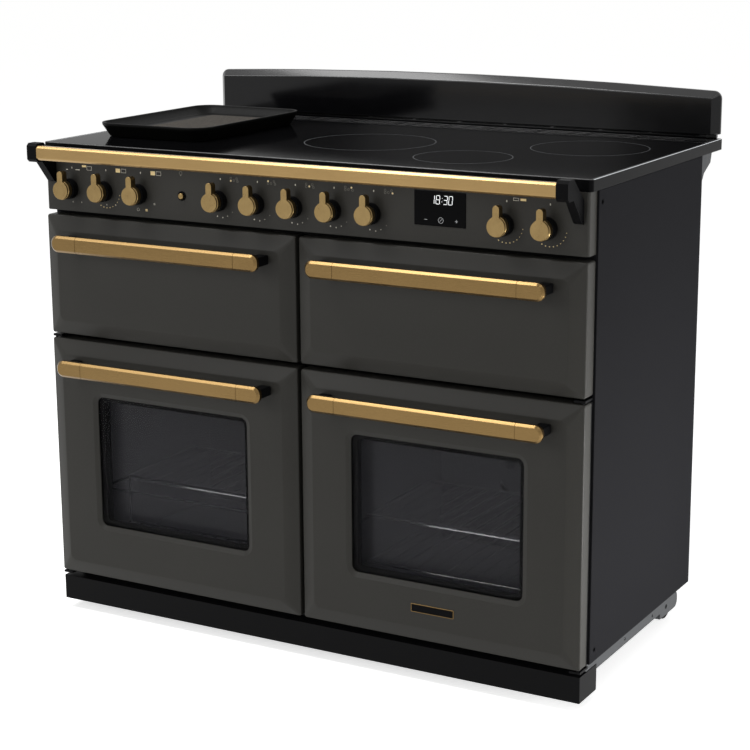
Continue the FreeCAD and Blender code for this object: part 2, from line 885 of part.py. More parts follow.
def oven_door_liner(name, side):
    """Inner tray of an oven door, with the inner window."""
    x = door_span(side)
    y = (face_y + s.skin_depth, door_back_y)
    z = (lower_bottom, lower_top)
    tray = box(f"liner_{name}_tray", x, y, z)
    hollow = box(f"liner_{name}_hollow", inset(x, s.sheet), (y[0], y[1] - s.sheet), inset(z, s.sheet))
    window_x, window_z = window_spans(side)
    opening = box(f"liner_{name}_window", window_x, y, window_z)
    return cut(f"oven_door_{name}_liner", tray, hollow, opening)


def oven_door_glass(name, side):
    """Outer and inner pane of an oven door, each against its sheet."""
    x, z = window_spans(side, s.pane_lap)
    outer_y = face_y - s.field_rise + s.sheet
    inner_y = door_back_y - s.sheet
    return group(f"oven_door_{name}_glass",
                 box(f"pane_{name}_outer", x, (outer_y, outer_y + s.outer_pane), z),
                 box(f"pane_{name}_inner", x, (inner_y - s.inner_pane, inner_y), z))


def drawer_front(name, side):
    """Front of an upper drawer: the same pressing, closed at the back by a plate."""
    x = door_span(side)
    z = (upper_bottom, upper_top)
    block, inside = front_shell(name, side, z)
    back = box(f"{name}_back", x, (face_y + s.skin_depth, door_back_y), z)
    hollow = box(f"{name}_back_hollow", inset(x, s.sheet),
                 (face_y + s.skin_depth, door_back_y - s.sheet), inset(z, s.sheet))
    return fuse(name, cut(f"{name}_pressing", block, inside), cut(f"{name}_plate", back, hollow))


def handle(name, side, top):
    """A flat bar with round ends on two posts."""
    x = on_side(side, door_inner + s.handle_inset, door_outer - s.handle_outer_inset)
    z = about(top - s.handle_drop, s.handle_height)
    front = face_y - s.handle_reach
    back = front + s.handle_depth
    part = doc.addObject("PartDesign::Body", name)
    profile = sketch_on(part, f"{name}_profile", "XZ_Plane", -back)
    rectangle(profile, x, z)
    bar = extrude(part, "Pad", f"{name}_bar", profile, s.handle_depth)
    ends = dress(part, "Fillet", f"{name}_ends", bar, "Radius", s.handle_height * ROUND_END, runs_along_y)
    dress(part, "Chamfer", f"{name}_bevel", ends, "Size", s.handle_bevel,
          lambda edge: lies_at_y(edge, front))
    feet = sketch_on(part, f"{name}_feet", "XZ_Plane", -back)
    for place in inset(x, s.post_inset):
        rectangle(feet, about(place, s.post_width), about(top - s.handle_drop, s.post_height))
    extrude(part, "Pad", f"{name}_posts", feet, s.handle_reach - s.handle_depth - s.field_rise,
            backwards=True)
    return part


def hinge_brackets():
    """A plate with a pin above and below each oven door."""
    brackets = []
    for name, side in SIDES.items():
        x = on_side(side, door_outer - s.hinge_width, door_outer)
        at = pin_places(side)
        low = (lower_bottom - s.hinge_clearance - s.hinge_plate, lower_bottom - s.hinge_clearance)
        high = (lower_top + s.hinge_clearance, lower_top + s.hinge_clearance + s.hinge_plate)
        foot = box(f"hinge_{name}_low_plate", x, (face_y + s.sheet, frame_y), low)
        head = box(f"hinge_{name}_high_plate", x, (face_y + s.sheet, side_y), high)
        foot_pin = rod(f"hinge_{name}_low_pin", "z", at, s.pin_radius, (low[0], low[1] + s.pin_length))
        head_pin = rod(f"hinge_{name}_high_pin", "z", at, s.pin_radius, (high[0] - s.pin_length, high[1]))
        brackets.append(fuse(f"hinge_{name}_low", foot, foot_pin))
        brackets.append(fuse(f"hinge_{name}_high", head, head_pin))
    return group("hinge_brackets", *brackets)


def door_rack():
    """Wire basket that hangs on the inside of the left oven door."""
    wire = s.rack_wire
    x0 = -door_outer + s.rack_left
    x1 = -door_inner - s.rack_right
    y0 = door_back_y + wire
    y1 = y0 + s.rack_depth
    z0 = lower_bottom + s.window_sill - s.rack_drop
    z1 = z0 + s.rack_height
    wires = []
    for number, z in enumerate((z0, z1)):
        wires.append(rod(f"rack_front_{number}", "x", (y1, z), wire, (x0, x1)))
        wires.append(rod(f"rack_rear_{number}", "x", (y0, z), wire, (x0, x1)))
        wires.append(rod(f"rack_left_{number}", "y", (x0, z), wire, (y0, y1)))
        wires.append(rod(f"rack_right_{number}", "y", (x1, z), wire, (y0, y1)))
    for number, x in enumerate(grid_places((x0, x1), s.shelf_pitch)):
        wires.append(rod(f"rack_floor_{number}", "y", (x, z0), s.rack_floor_wire, (y0, y1)))
    for number, x in enumerate((x0, x1)):
        wires.append(rod(f"rack_stile_{number}", "z", (x, y0), wire, (z0, z1 + s.rack_hook)))
        wires.append(rod(f"rack_corner_{number}", "z", (x, y1), wire, (z0, z1)))
    return fuse("door_rack", *wires)


# Upper drawers
def grill_carriage():
    """Sliding frame behind the grill drawer's front."""
    x = inset(oven_span(LEFT), s.slide_gap)
    z = (slide_bottom, slide_bottom + s.slide_height)
    around = box("carriage_outer", x, slide_span, z)
    middle = box("carriage_middle", inset(x, s.carriage_bar), inset(slide_span, s.carriage_bar), z)
    return cut("grill_carriage", around, middle)


def grill_pan():
    """Shallow pan that hangs in the carriage by its rim, with a loose grid in it."""
    x = inset(oven_span(LEFT), s.slide_gap + s.carriage_bar + s.running_gap)
    y = inset(slide_span, s.carriage_bar + s.pan_front_gap, s.carriage_bar + s.pan_rear_gap)
    rim_z = slide_bottom + s.slide_height
    tray = box("pan_tray", x, y, (rim_z - s.pan_depth, rim_z + s.sheet))
    lip = box("pan_lip", inset(x, -s.carriage_bar / 2), y, (rim_z, rim_z + s.sheet))
    space = box("pan_space", inset(x, s.sheet), inset(y, s.sheet),
                (rim_z - s.pan_depth + s.sheet, rim_z + s.sheet))
    pan = cut("pan_pressing", fuse("pan_block", tray, lip), space)
    floor = rim_z - s.pan_depth + s.sheet
    grid_x = inset(x, s.sheet * 2)
    grid_y = inset(y, s.sheet * 2)
    bar = s.grid_bar
    around = box("grid_outer", grid_x, grid_y, (floor, floor + bar))
    middle = box("grid_middle", inset(grid_x, bar), inset(grid_y, bar), (floor, floor + bar))
    frame = cut("grid_frame", around, middle)
    bars = [
        box(f"grid_bar_{number}", about(place, bar), inset(grid_y, bar / 2), (floor, floor + bar))
        for number, place in enumerate(grid_places(grid_x, s.shelf_pitch))
    ]
    return group("grill_pan", pan, fuse("grill_grid", frame, *bars))


def storage_drawer_box():
    """Open drawer box with a slide flange along each side."""
    space = oven_span(RIGHT)
    x = inset(space, s.drawer_inset)
    y = slide_span
    floor = chamber_floor + s.drawer_rise
    z = (floor, floor + s.drawer_height)
    block = box("drawer_block", x, y, z)
    flange = box("drawer_flange", inset(space, s.slide_gap), y,
                 (slide_bottom, slide_bottom + s.slide_height))
    inside = box("drawer_inside", inset(x, s.sheet), inset(y, s.sheet), (z[0] + s.sheet, z[1]))
    return cut("storage_drawer_box", fuse("drawer_shell", block, flange), inside)


# Hob
def hob_frame():
    """Frame of the hob: a rim round the glass, a tray under it and a well for the vent."""
    x = (-half_width, half_width)
    ledge = s.hob_rim + s.hob_ledge
    outer = box("hob_outer", x, (hob_front, rear_y), (hob_bottom, hob_height))
    recess = box("hob_recess", inset(x, s.hob_rim), (hob_front + s.hob_rim, vent_rear + s.glass_gap),
                 (glass_bottom, hob_height))
    well = box("hob_well", inset(x, ledge), (hob_front + ledge, vent_front - s.hob_ledge),
               (hob_bottom + s.tray_floor, glass_bottom))
    duct = box("hob_duct", inset(x, ledge), (vent_front + s.hob_ledge, vent_rear - s.hob_ledge),
               (hob_bottom, glass_bottom))
    return cut("hob_frame", outer, recess, well, duct)


def glass_span():
    """Width of the glass and of the vent behind it."""
    return inset((-half_width, half_width), s.hob_rim + s.glass_gap)


def hob_glass():
    """Ceramic glass, flush with the rim."""
    return box("hob_glass", glass_span(), (glass_front, glass_rear),
               (glass_bottom, hob_height))


def induction_coils():
    """Five coils on the tray under the glass."""
    step = s.coil_left + s.coil_spacing / 2
    places = [
        (s.coil_big_offset, glass_front + s.coil_big_setback, s.coil_big),
        (half_width - s.coil_small_edge, glass_front + s.coil_small_setback, s.coil_small),
        (half_width - s.coil_mid_edge, vent_front - s.coil_mid_rear, s.coil_mid),
        (griddle_middle_x, glass_middle - step, s.coil_left),
        (griddle_middle_x, glass_middle + step, s.coil_left),
    ]
    z = (hob_bottom + s.tray_floor, glass_bottom - s.coil_gap)
    coils = [
        rod(f"coil_{number}", "z", (x, y), radius, z)
        for number, (x, y, radius) in enumerate(places, start=1)
    ]
    return group("induction_coils", *coils)


def vent_grille():
    """Air grille behind the glass, with three rows of slots in segments."""
    x = glass_span()
    y = (vent_front, vent_rear)
    z = (glass_bottom, hob_height)
    plate = box("vent_plate", x, y, z)
    middle = (y[0] + y[1]) / 2
    count = int((x[1].value - x[0].value) // s.vent_segment.value)
    slots = []
    for column in range(count):
        centre = s.vent_segment * (column - (count - 1) / 2)
        for row in (-1, 0, 1):
            slots.append(box(f"vent_slot_{column}_{row + 1}", about(centre, s.vent_segment - s.vent_bar),
                             about(middle + (s.vent_slot + s.vent_bar) * row, s.vent_slot), z))
    return cut("vent_grille", plate, *slots)


def upstand():
    """Upstand along the rear: arched top, rounded corners, bevelled front, open at the back, on a foot."""
    half = half_width - s.upstand_inset
    front = rear_y - s.upstand_depth
    bottom = hob_height + s.upstand_gap
    top = bottom + s.upstand_height
    part = doc.addObject("PartDesign::Body", "upstand_block")
    sketch = sketch_on(part, "upstand_profile", "XZ_Plane", -rear_y)
    corners = [(-half, top), (-half, bottom), (half, bottom), (half, top)]
    points = [Vector(x.value, z.value, 0) for x, z in corners]
    for start, end in zip(points, points[1:]):
        sketch.addGeometry(Part.LineSegment(start, end))
    crest = Vector(0, (top + s.upstand_crown).value, 0)
    sketch.addGeometry(Part.Arc(points[3], crest, points[0]))
    for line in range(3):
        sketch.addConstraint(Sketcher.Constraint("Coincident", line, 2, line + 1, 1))
    sketch.addConstraint(Sketcher.Constraint("Coincident", 3, 2, 0, 1))
    for line, (x, z) in enumerate(corners[:3]):
        held(sketch, "DistanceX", line, 1, x)
        held(sketch, "DistanceY", line, 1, z)
    held(sketch, "DistanceX", 2, 2, corners[3][0])
    held(sketch, "DistanceY", 2, 2, corners[3][1])
    radius = (half * half + s.upstand_crown * s.upstand_crown) / (s.upstand_crown * 2)
    number = sketch.addConstraint(Sketcher.Constraint("Radius", 3, radius.value))
    sketch.setExpression(f"Constraints[{number}]", radius.text)
    pad = extrude(part, "Pad", "upstand_pad", sketch, s.upstand_depth)
    rounded = dress(part, "Fillet", "upstand_corners", pad, "Radius", s.upstand_corner,
                    lambda edge: runs_along_y(edge) and edge.BoundBox.ZMin > bottom.value + EDGE_CLEARANCE)
    dress(part, "Chamfer", "upstand_front", rounded, "Size", s.upstand_bevel,
          lambda edge: lies_at_y(edge, front) and edge.BoundBox.ZMax > bottom.value + EDGE_CLEARANCE)
    margin = s.upstand_bevel + s.upstand_wall
    hollow = box("upstand_hollow", (-half + margin, half - margin), (front + s.upstand_wall, rear_y),
                 (bottom + s.upstand_wall, top - margin))
    foot_half = half - s.upstand_foot_inset
    foot = box("upstand_foot", (-foot_half, foot_half), (rear_y - s.upstand_foot_depth, rear_y),
               (hob_height, bottom + s.upstand_wall))
    return fuse("upstand", cut("upstand_shell", part, hollow), foot)


# Handrail
def bevelled_section(sketch, y, z, bevel):
    """Draw a rectangle with all four corners cut off."""
    (y0, y1), (z0, z1) = y, z
    outline(sketch, [
        (y0 + bevel, z0), (y1 - bevel, z0), (y1, z0 + bevel), (y1, z1 - bevel),
        (y1 - bevel, z1), (y0 + bevel, z1), (y0, z1 - bevel), (y0, z0 + bevel),
    ])


def handrail():
    """Bevelled bar along the front."""
    part = doc.addObject("PartDesign::Body", "handrail")
    sketch = sketch_on(part, "handrail_section", "YZ_Plane", -rail_half_length)
    bevelled_section(sketch, (rail_front, rail_front + s.rail_depth), about(rail_axis_z, s.rail_height),
                     s.rail_bevel)
    extrude(part, "Pad", "handrail_bar", sketch, rail_half_length * 2)
    return part


def handrail_brackets():
    """End caps of the handrail, each with a leg down to the control panel."""
    part = doc.addObject("PartDesign::Body", "rail_bracket")
    cap = sketch_on(part, "rail_cap_profile", "YZ_Plane", rail_half_length)
    cap_z = about(rail_axis_z, s.cap_height)
    bevelled_section(cap, (rail_front, rail_front + s.cap_depth), cap_z, s.cap_bevel)
    extrude(part, "Pad", "rail_cap", cap, s.cap_width)
    leg_start = rail_half_length + s.cap_width - s.leg_width
    leg = sketch_on(part, "rail_leg_profile", "YZ_Plane", leg_start)
    foot = panel_bottom + s.leg_foot_rise
    cap_rear = rail_front + s.cap_depth
    outline(leg, [
        (panel_y, foot),
        (panel_y, foot + s.leg_foot_height),
        (cap_rear, cap_z[1] - s.cap_bevel),
        (cap_rear - s.cap_bevel, cap_z[1] - s.cap_bevel),
        (cap_rear - s.cap_bevel, cap_z[0]),
        (panel_y - s.leg_toe, foot),
    ])
    extrude(part, "Pad", "rail_leg", leg, s.leg_width)
    return pair("handrail_brackets", part)


# Control panel
knob_room = (door_outer * 2 - s.left_knob_edge - s.right_knob_edge - s.button_space
             - s.display_left_space - s.display_width - s.display_right_space)
knob_pitch = knob_room / (sum(KNOB_GROUPS) - len(KNOB_GROUPS))
left_knob = s.left_knob_edge - door_outer
button_side_knob = left_knob + knob_pitch * (LEFT_KNOBS - 1)
hob_knob = button_side_knob + s.button_space
display_left = hob_knob + knob_pitch * (HOB_KNOBS - 1) + s.display_left_space
right_knob = display_left + s.display_width + s.display_right_space


def knob_places():
    """The ten knob centres from left to right."""
    left = [left_knob + knob_pitch * step for step in range(LEFT_KNOBS)]
    hob = [hob_knob + knob_pitch * step for step in range(HOB_KNOBS)]
    right = [right_knob + knob_pitch * step for step in range(RIGHT_KNOBS)]
    return left + hob + right


def display_spans(gap=0):
    """Width and height of the clock window in the panel, widened by a gap."""
    x = (display_left, display_left + s.display_width)
    z = (panel_bottom + s.display_bottom, hob_bottom - s.display_head)
    return inset(x, -as_size(gap)), inset(z, -as_size(gap))


button_at = (button_side_knob + s.button_offset, panel_bottom + s.button_height)


def control_panel():
    """Fascia with holes for the knob shafts, the light button and the clock."""
    x = (-door_outer, door_outer)
    y = (panel_y, side_y)
    z = (panel_bottom, hob_bottom)
    block = box("panel_block", x, y, z)
    hollow = box("panel_hollow", inset(x, s.sheet), (y[0] + s.sheet, y[1]), inset(z, s.sheet))
    face = (y[0], y[0] + s.sheet)
    holes = [
        rod(f"panel_hole_{number}", "y", (place, knob_z), s.shaft_radius + s.running_gap, face)
        for number, place in enumerate(knob_places(), start=1)
    ]
    holes.append(rod("panel_button_hole", "y", button_at, s.button_radius + s.running_gap, face))
    clock_x, clock_z = display_spans(s.running_gap)
    holes.append(box("panel_clock_hole", clock_x, face, clock_z))
    return cut("control_panel", block, hollow, *holes)


def control_switches():
    """A rotary switch behind the panel for each knob."""
    front = panel_y + s.sheet
    switches = []
    for number, place in enumerate(knob_places(), start=1):
        can = box(f"switch_{number}_can", about(place, s.switch_size), (front, front + s.switch_depth),
                  about(knob_z, s.switch_size))
        shaft = rod(f"switch_{number}_shaft", "y", (place, knob_z), s.shaft_radius,
                    (panel_y - s.shaft_length, front))
        switches.append(fuse(f"switch_{number}", can, shaft))
    return group("control_switches", *switches)


def knob(number, place):
    """A knob: skirt, cap and pointer tab, bored for its shaft."""
    back = panel_y - s.knob_gap
    front = panel_y - s.knob_reach
    waist = front + s.knob_cap_depth
    name = f"knob_{number}"
    part = doc.addObject("PartDesign::Body", name)
    skirt = sketch_on(part, f"{name}_skirt_outline", "XZ_Plane", -back)
    circle(skirt, place, knob_z, s.knob_skirt_radius)
    extrude(part, "Pad", f"{name}_skirt", skirt, back - waist)
    cap = sketch_on(part, f"{name}_cap_outline", "XZ_Plane", -waist)
    circle(cap, place, knob_z, s.knob_cap_radius)
    extrude(part, "Pad", f"{name}_cap", cap, s.knob_cap_depth)
    tab = sketch_on(part, f"{name}_tab_outline", "XZ_Plane", -waist)
    rectangle(tab, about(place, s.knob_tab_width), (knob_z, knob_z + s.knob_tab_height))
    pad = extrude(part, "Pad", f"{name}_tab", tab, s.knob_cap_depth)
    tip = (knob_z + s.knob_tab_height).value - SAME_PLACE
    dress(part, "Fillet", f"{name}_tip", pad, "Radius", s.knob_tab_width * ROUND_END,
          lambda edge: runs_along_y(edge) and edge.BoundBox.ZMin > tip)
    bore = sketch_on(part, f"{name}_bore_outline", "XZ_Plane", -back)
    circle(bore, place, knob_z, s.shaft_radius + s.running_gap)
    extrude(part, "Pocket", f"{name}_bore", bore, s.shaft_length, backwards=True)
    return part


def light_button():
    """Push button for the oven light, held behind the panel by a collar."""
    behind = panel_y + s.sheet + s.running_gap
    stem = rod("button_stem", "y", button_at, s.button_radius, (panel_y - s.button_reach, behind))
    collar = rod("button_flange", "y", button_at, s.button_collar, (behind, behind + s.button_collar_depth))
    return fuse("light_button", stem, collar)


def display():
    """Clock: a dark window in the panel with a flange behind it."""
    x, z = display_spans()
    behind = panel_y + s.sheet
    window = box("display_window", x, (panel_y - s.display_proud, behind), z)
    flange = box("display_body", inset(x, -s.display_flange), (behind, behind + s.display_depth),
                 inset(z, -s.display_flange))
    return fuse("display", window, flange)


# Loose and standing pieces
def griddle_pan():
    """Cast griddle with sloping sides, standing on the glass."""
    x = about(griddle_middle_x, s.griddle_width)
    y = about(glass_middle + s.griddle_offset, s.griddle_length)
    floor = hob_height
    rim = floor + s.griddle_height
    wall = s.griddle_wall
    taper = s.griddle_taper
    outer = frustum("griddle_outer", (floor, rim), (inset(x, taper), inset(y, taper)), (x, y), upright=True)
    inner = frustum("griddle_inner", (floor + wall, rim),
                    (inset(x, taper + wall), inset(y, taper + wall)),
                    (inset(x, wall), inset(y, wall)), upright=True)
    return cut("griddle_pan", outer, inner)


def plinth():
    """Folded plinth: front, two returns and a top flange that meets the base frame."""
    x = (-half_width + s.plinth_inset, half_width - s.plinth_inset)
    y = (panel_y, panel_y + s.plinth_return)
    z = (s.plinth_clearance, plinth_top)
    block = box("plinth_block", x, y, z)
    hollow = box("plinth_hollow", inset(x, s.sheet), (y[0] + s.sheet, y[1]), z)
    flange = box("plinth_flange", inset(x, s.sheet), (y[0] + s.sheet, frame_y),
                 (plinth_top - s.sheet, plinth_top))
    return fuse("plinth", cut("plinth_fold", block, hollow), flange)


def front_foot(name, side):
    """Screw foot in the base frame."""
    at = (foot_x * side, foot_y)
    pad = rod(f"foot_{name}_pad", "z", at, s.foot_radius, (0, s.foot_height))
    stud = rod(f"foot_{name}_stud", "z", at, s.stud_radius, (0, s.foot_height + s.stud_length))
    return fuse(f"front_foot_{name}", pad, stud)


axle_at = (body_rear_y - s.axle_inset, s.roller_radius)


def roller_brackets():
    """A fork with an axle at the rear end of each base rail."""
    y = (base_rear_y, body_rear_y + s.bracket_overhang)
    z = (s.roller_radius - s.bracket_drop, s.roller_radius + s.bracket_rise)
    x = (base_half_width - s.bracket_width, base_half_width)
    outer = box("fork_outer", x, y, z)
    slot = box("fork_slot", inset(x, s.bracket_plate), (y[0] + s.bracket_plate, y[1]), z)
    axle = rod("fork_axle", "x", axle_at, s.axle_radius, x)
    return pair("roller_brackets", fuse("fork", cut("fork_fold", outer, slot), axle))


def rear_roller(name, side):
    """Roller on its axle."""
    x = about((base_half_width - s.bracket_width / 2) * side, s.roller_width)
    wheel = rod(f"roller_{name}_wheel", "x", axle_at, s.roller_radius, x)
    bore = rod(f"roller_{name}_bore", "x", axle_at, s.axle_radius + s.running_gap, x)
    return cut(f"rear_roller_{name}", wheel, bore)


def terminal_box():
    """Mains terminal box on the back, with a round cable entry in its floor."""
    rear = body_rear_y + s.sheet
    right = half_width - s.terminal_inset
    x = (right - s.terminal_width, right)
    y = (rear, rear + s.terminal_depth)
    floor = base_top + s.terminal_rise
    z = (floor, floor + s.terminal_height)
    block = box("terminal_block", x, y, z)
    hollow = box("terminal_hollow", inset(x, s.sheet), (y[0], y[1] - s.sheet), inset(z, s.sheet))
    entry = rod("terminal_entry", "z", ((x[0] + x[1]) / 2, (y[0] + y[1]) / 2), s.cable_entry_radius,
                (floor, floor + s.sheet))
    return cut("terminal_box", block, hollow, entry)


for make in (base_frame, side_panels, back_panel, front_frame, oven_liners, upper_chambers, door_seals,
             cavity_rails, oven_shelves, fan_covers, fan_motors, heating_elements, hinge_brackets,
             hob_frame, hob_glass, induction_coils, vent_grille, upstand, handrail, handrail_brackets,
             control_panel, control_switches, display, light_button, griddle_pan, plinth,
             roller_brackets, terminal_box, door_rack, grill_carriage, grill_pan, storage_drawer_box):
    keep(make())

for side_name, side_sign in SIDES.items():
    keep(oven_fan(side_name, side_sign))
    keep(oven_door_skin(side_name, side_sign))
    keep(oven_door_liner(side_name, side_sign))
    keep(oven_door_glass(side_name, side_sign))
    keep(handle(f"oven_door_{side_name}_handle", side_sign, lower_top))
    keep(front_foot(side_name, side_sign))
    keep(rear_roller(side_name, side_sign))

for drawer, side_sign in (("grill_drawer", LEFT), ("storage_drawer", RIGHT)):
    keep(drawer_front(f"{drawer}_front", side_sign))
    keep(handle(f"{drawer}_handle", side_sign, upper_top))

for knob_number, knob_place in enumerate(knob_places(), start=1):
    keep(knob(knob_number, knob_place))

doc.recompute()

faults = [item.Label for item in doc.Objects if "Invalid" in item.State or "Error" in item.State]
for item in nodes:
    if item.Shape.isNull() or not item.Shape.isValid():
        faults.append(item.Label)
if faults:
    raise RuntimeError(f"These pieces failed: {sorted(set(faults))}")

os.makedirs("parts", exist_ok=True)
for item in nodes:
    item.Shape.exportStep(f"parts/{item.Label}.step")
    print(item.Label, len(item.Shape.Solids), round(item.Shape.Volume / 1000, 1))
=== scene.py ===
"""Looks of a free-standing range cooker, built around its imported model.

Lengths are written in millimetres. X runs to the right, Y to the back and Z up, as in the model.
"""

import logging
import math
from dataclasses import dataclass, field
from enum import Enum
from typing import Callable, Iterable, Iterator, Optional, Sequence, Union

import bpy
from mathutils import Matrix, Vector

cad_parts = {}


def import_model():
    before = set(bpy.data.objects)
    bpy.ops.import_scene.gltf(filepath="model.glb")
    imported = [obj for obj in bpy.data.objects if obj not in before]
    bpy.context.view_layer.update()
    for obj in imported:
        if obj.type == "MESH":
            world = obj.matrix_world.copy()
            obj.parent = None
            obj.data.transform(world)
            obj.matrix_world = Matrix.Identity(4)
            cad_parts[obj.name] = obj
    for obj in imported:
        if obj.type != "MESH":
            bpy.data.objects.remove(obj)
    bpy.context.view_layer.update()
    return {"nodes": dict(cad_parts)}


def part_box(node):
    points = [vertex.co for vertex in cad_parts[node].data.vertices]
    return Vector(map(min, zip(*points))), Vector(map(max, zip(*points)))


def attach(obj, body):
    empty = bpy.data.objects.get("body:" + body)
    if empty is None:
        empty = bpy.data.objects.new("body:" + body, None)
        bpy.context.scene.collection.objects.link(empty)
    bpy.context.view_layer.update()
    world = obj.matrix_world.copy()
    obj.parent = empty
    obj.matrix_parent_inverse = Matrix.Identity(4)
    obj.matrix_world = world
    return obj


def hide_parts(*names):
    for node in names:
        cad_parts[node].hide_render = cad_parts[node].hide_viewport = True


LOG = logging.getLogger("range_cooker")
MM = 0.001
COOKER = "cooker"
SIDES = {"left": -1, "right": 1}
# Places closer than this count as one.
TOUCH = 0.01
# Depth of the zone that counts as an end of a piece.
END = 0.1
# A facet whose normal has a part above this is a flat face of the piece, not one of its rounded edges.
SQUARE_ON = 0.98
# A facet whose normal has a part above this on an axis leans that way.
LEANING = 0.1
NodeInput = Union[bpy.types.NodeSocket, float, Sequence[float]]


@dataclass(frozen=True)
class Span:
    """Two places on one axis.

    Args:
        low: The lower place.
        high: The higher place.
    """

    low: float
    high: float

    @property
    def size(self) -> float:
        """Distance between the two places."""
        return self.high - self.low

    @property
    def middle(self) -> float:
        """Place halfway between the two."""
        return (self.low + self.high) / 2

    def inset(self, step: float) -> "Span":
        """Draw both ends inwards by a step."""
        return Span(self.low + step, self.high - step)

    def holds(self, place: float) -> bool:
        """Tell whether a place lies between the two."""
        return self.low <= place <= self.high

    @classmethod
    def about(cls, middle: float, size: float) -> "Span":
        """Span of a size, centred on a place."""
        return cls(middle - size / 2, middle + size / 2)


@dataclass(frozen=True)
class Box:
    """A block's extent on the three axes.

    Args:
        x: Extent from left to right.
        y: Extent from front to back.
        z: Extent from bottom to top.
    """

    x: Span
    y: Span
    z: Span

    @property
    def centre(self) -> Vector:
        """Middle of the block, in metres."""
        return Vector((self.x.middle, self.y.middle, self.z.middle)) * MM

    @property
    def size(self) -> Vector:
        """Edge lengths of the block, in metres."""
        return Vector((self.x.size, self.y.size, self.z.size)) * MM

    @classmethod
    def of_node(cls, node: str) -> "Box":
        """Extent of a model node, in millimetres."""
        low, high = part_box(node)
        return cls(*[Span(a / MM, b / MM) for a, b in zip(low, high)])


class Axis(Enum):
    """Direction in which a piece is built up, with the turn that lays a flat outline across it."""

    X = (math.pi / 2, 0.0, math.pi / 2)
    Y = (math.pi / 2, 0.0, 0.0)
    Z = (0.0, 0.0, 0.0)

    def point(self, across: float, up: float, along: float) -> Vector:
        """Place of a point given across, up and along the axis, in metres.

        Args:
            across: Distance on the outline's first axis.
            up: Distance on the outline's second axis.
            along: Distance on this axis.

        Returns:
            The point in the model's frame.
        """
        order = {Axis.X: (along, across, up), Axis.Y: (across, along, up), Axis.Z: (across, up, along)}
        return Vector(order[self]) * MM


@dataclass(frozen=True)
class Ring:
    """A rounded rectangle, one of the stations of a loft.

    Args:
        across: Extent on the outline's first axis.
        up: Extent on the outline's second axis.
        along: Place on the axis of the loft.
        corner: Radius of the corners.
    """

    across: Span
    up: Span
    along: float
    corner: float

    def inset(self, step: float, along: float, corner: float) -> "Ring":
        """A smaller ring inside this one.

        Args:
            step: How far each side moves inwards.
            along: Place of the new ring on the axis.
            corner: Corner radius of the new ring.

        Returns:
            The new ring.
        """
        return Ring(self.across.inset(step), self.up.inset(step), along, corner)


def runs_along(axis: Axis, start: Vector, end: Vector) -> bool:
    """Tell whether an edge runs along an axis.

    Args:
        axis: The axis.
        start: One end of the edge.
        end: Its other end.

    Returns:
        True if the ends differ on that axis alone.
    """
    offset = end - start
    offset["XYZ".index(axis.name)] = 0
    return offset.length < TOUCH


def deselect() -> None:
    """Leave edit mode and deselect everything."""
    if bpy.context.object and bpy.context.object.mode != "OBJECT":
        bpy.ops.object.mode_set(mode="OBJECT")
    bpy.ops.object.select_all(action="DESELECT")


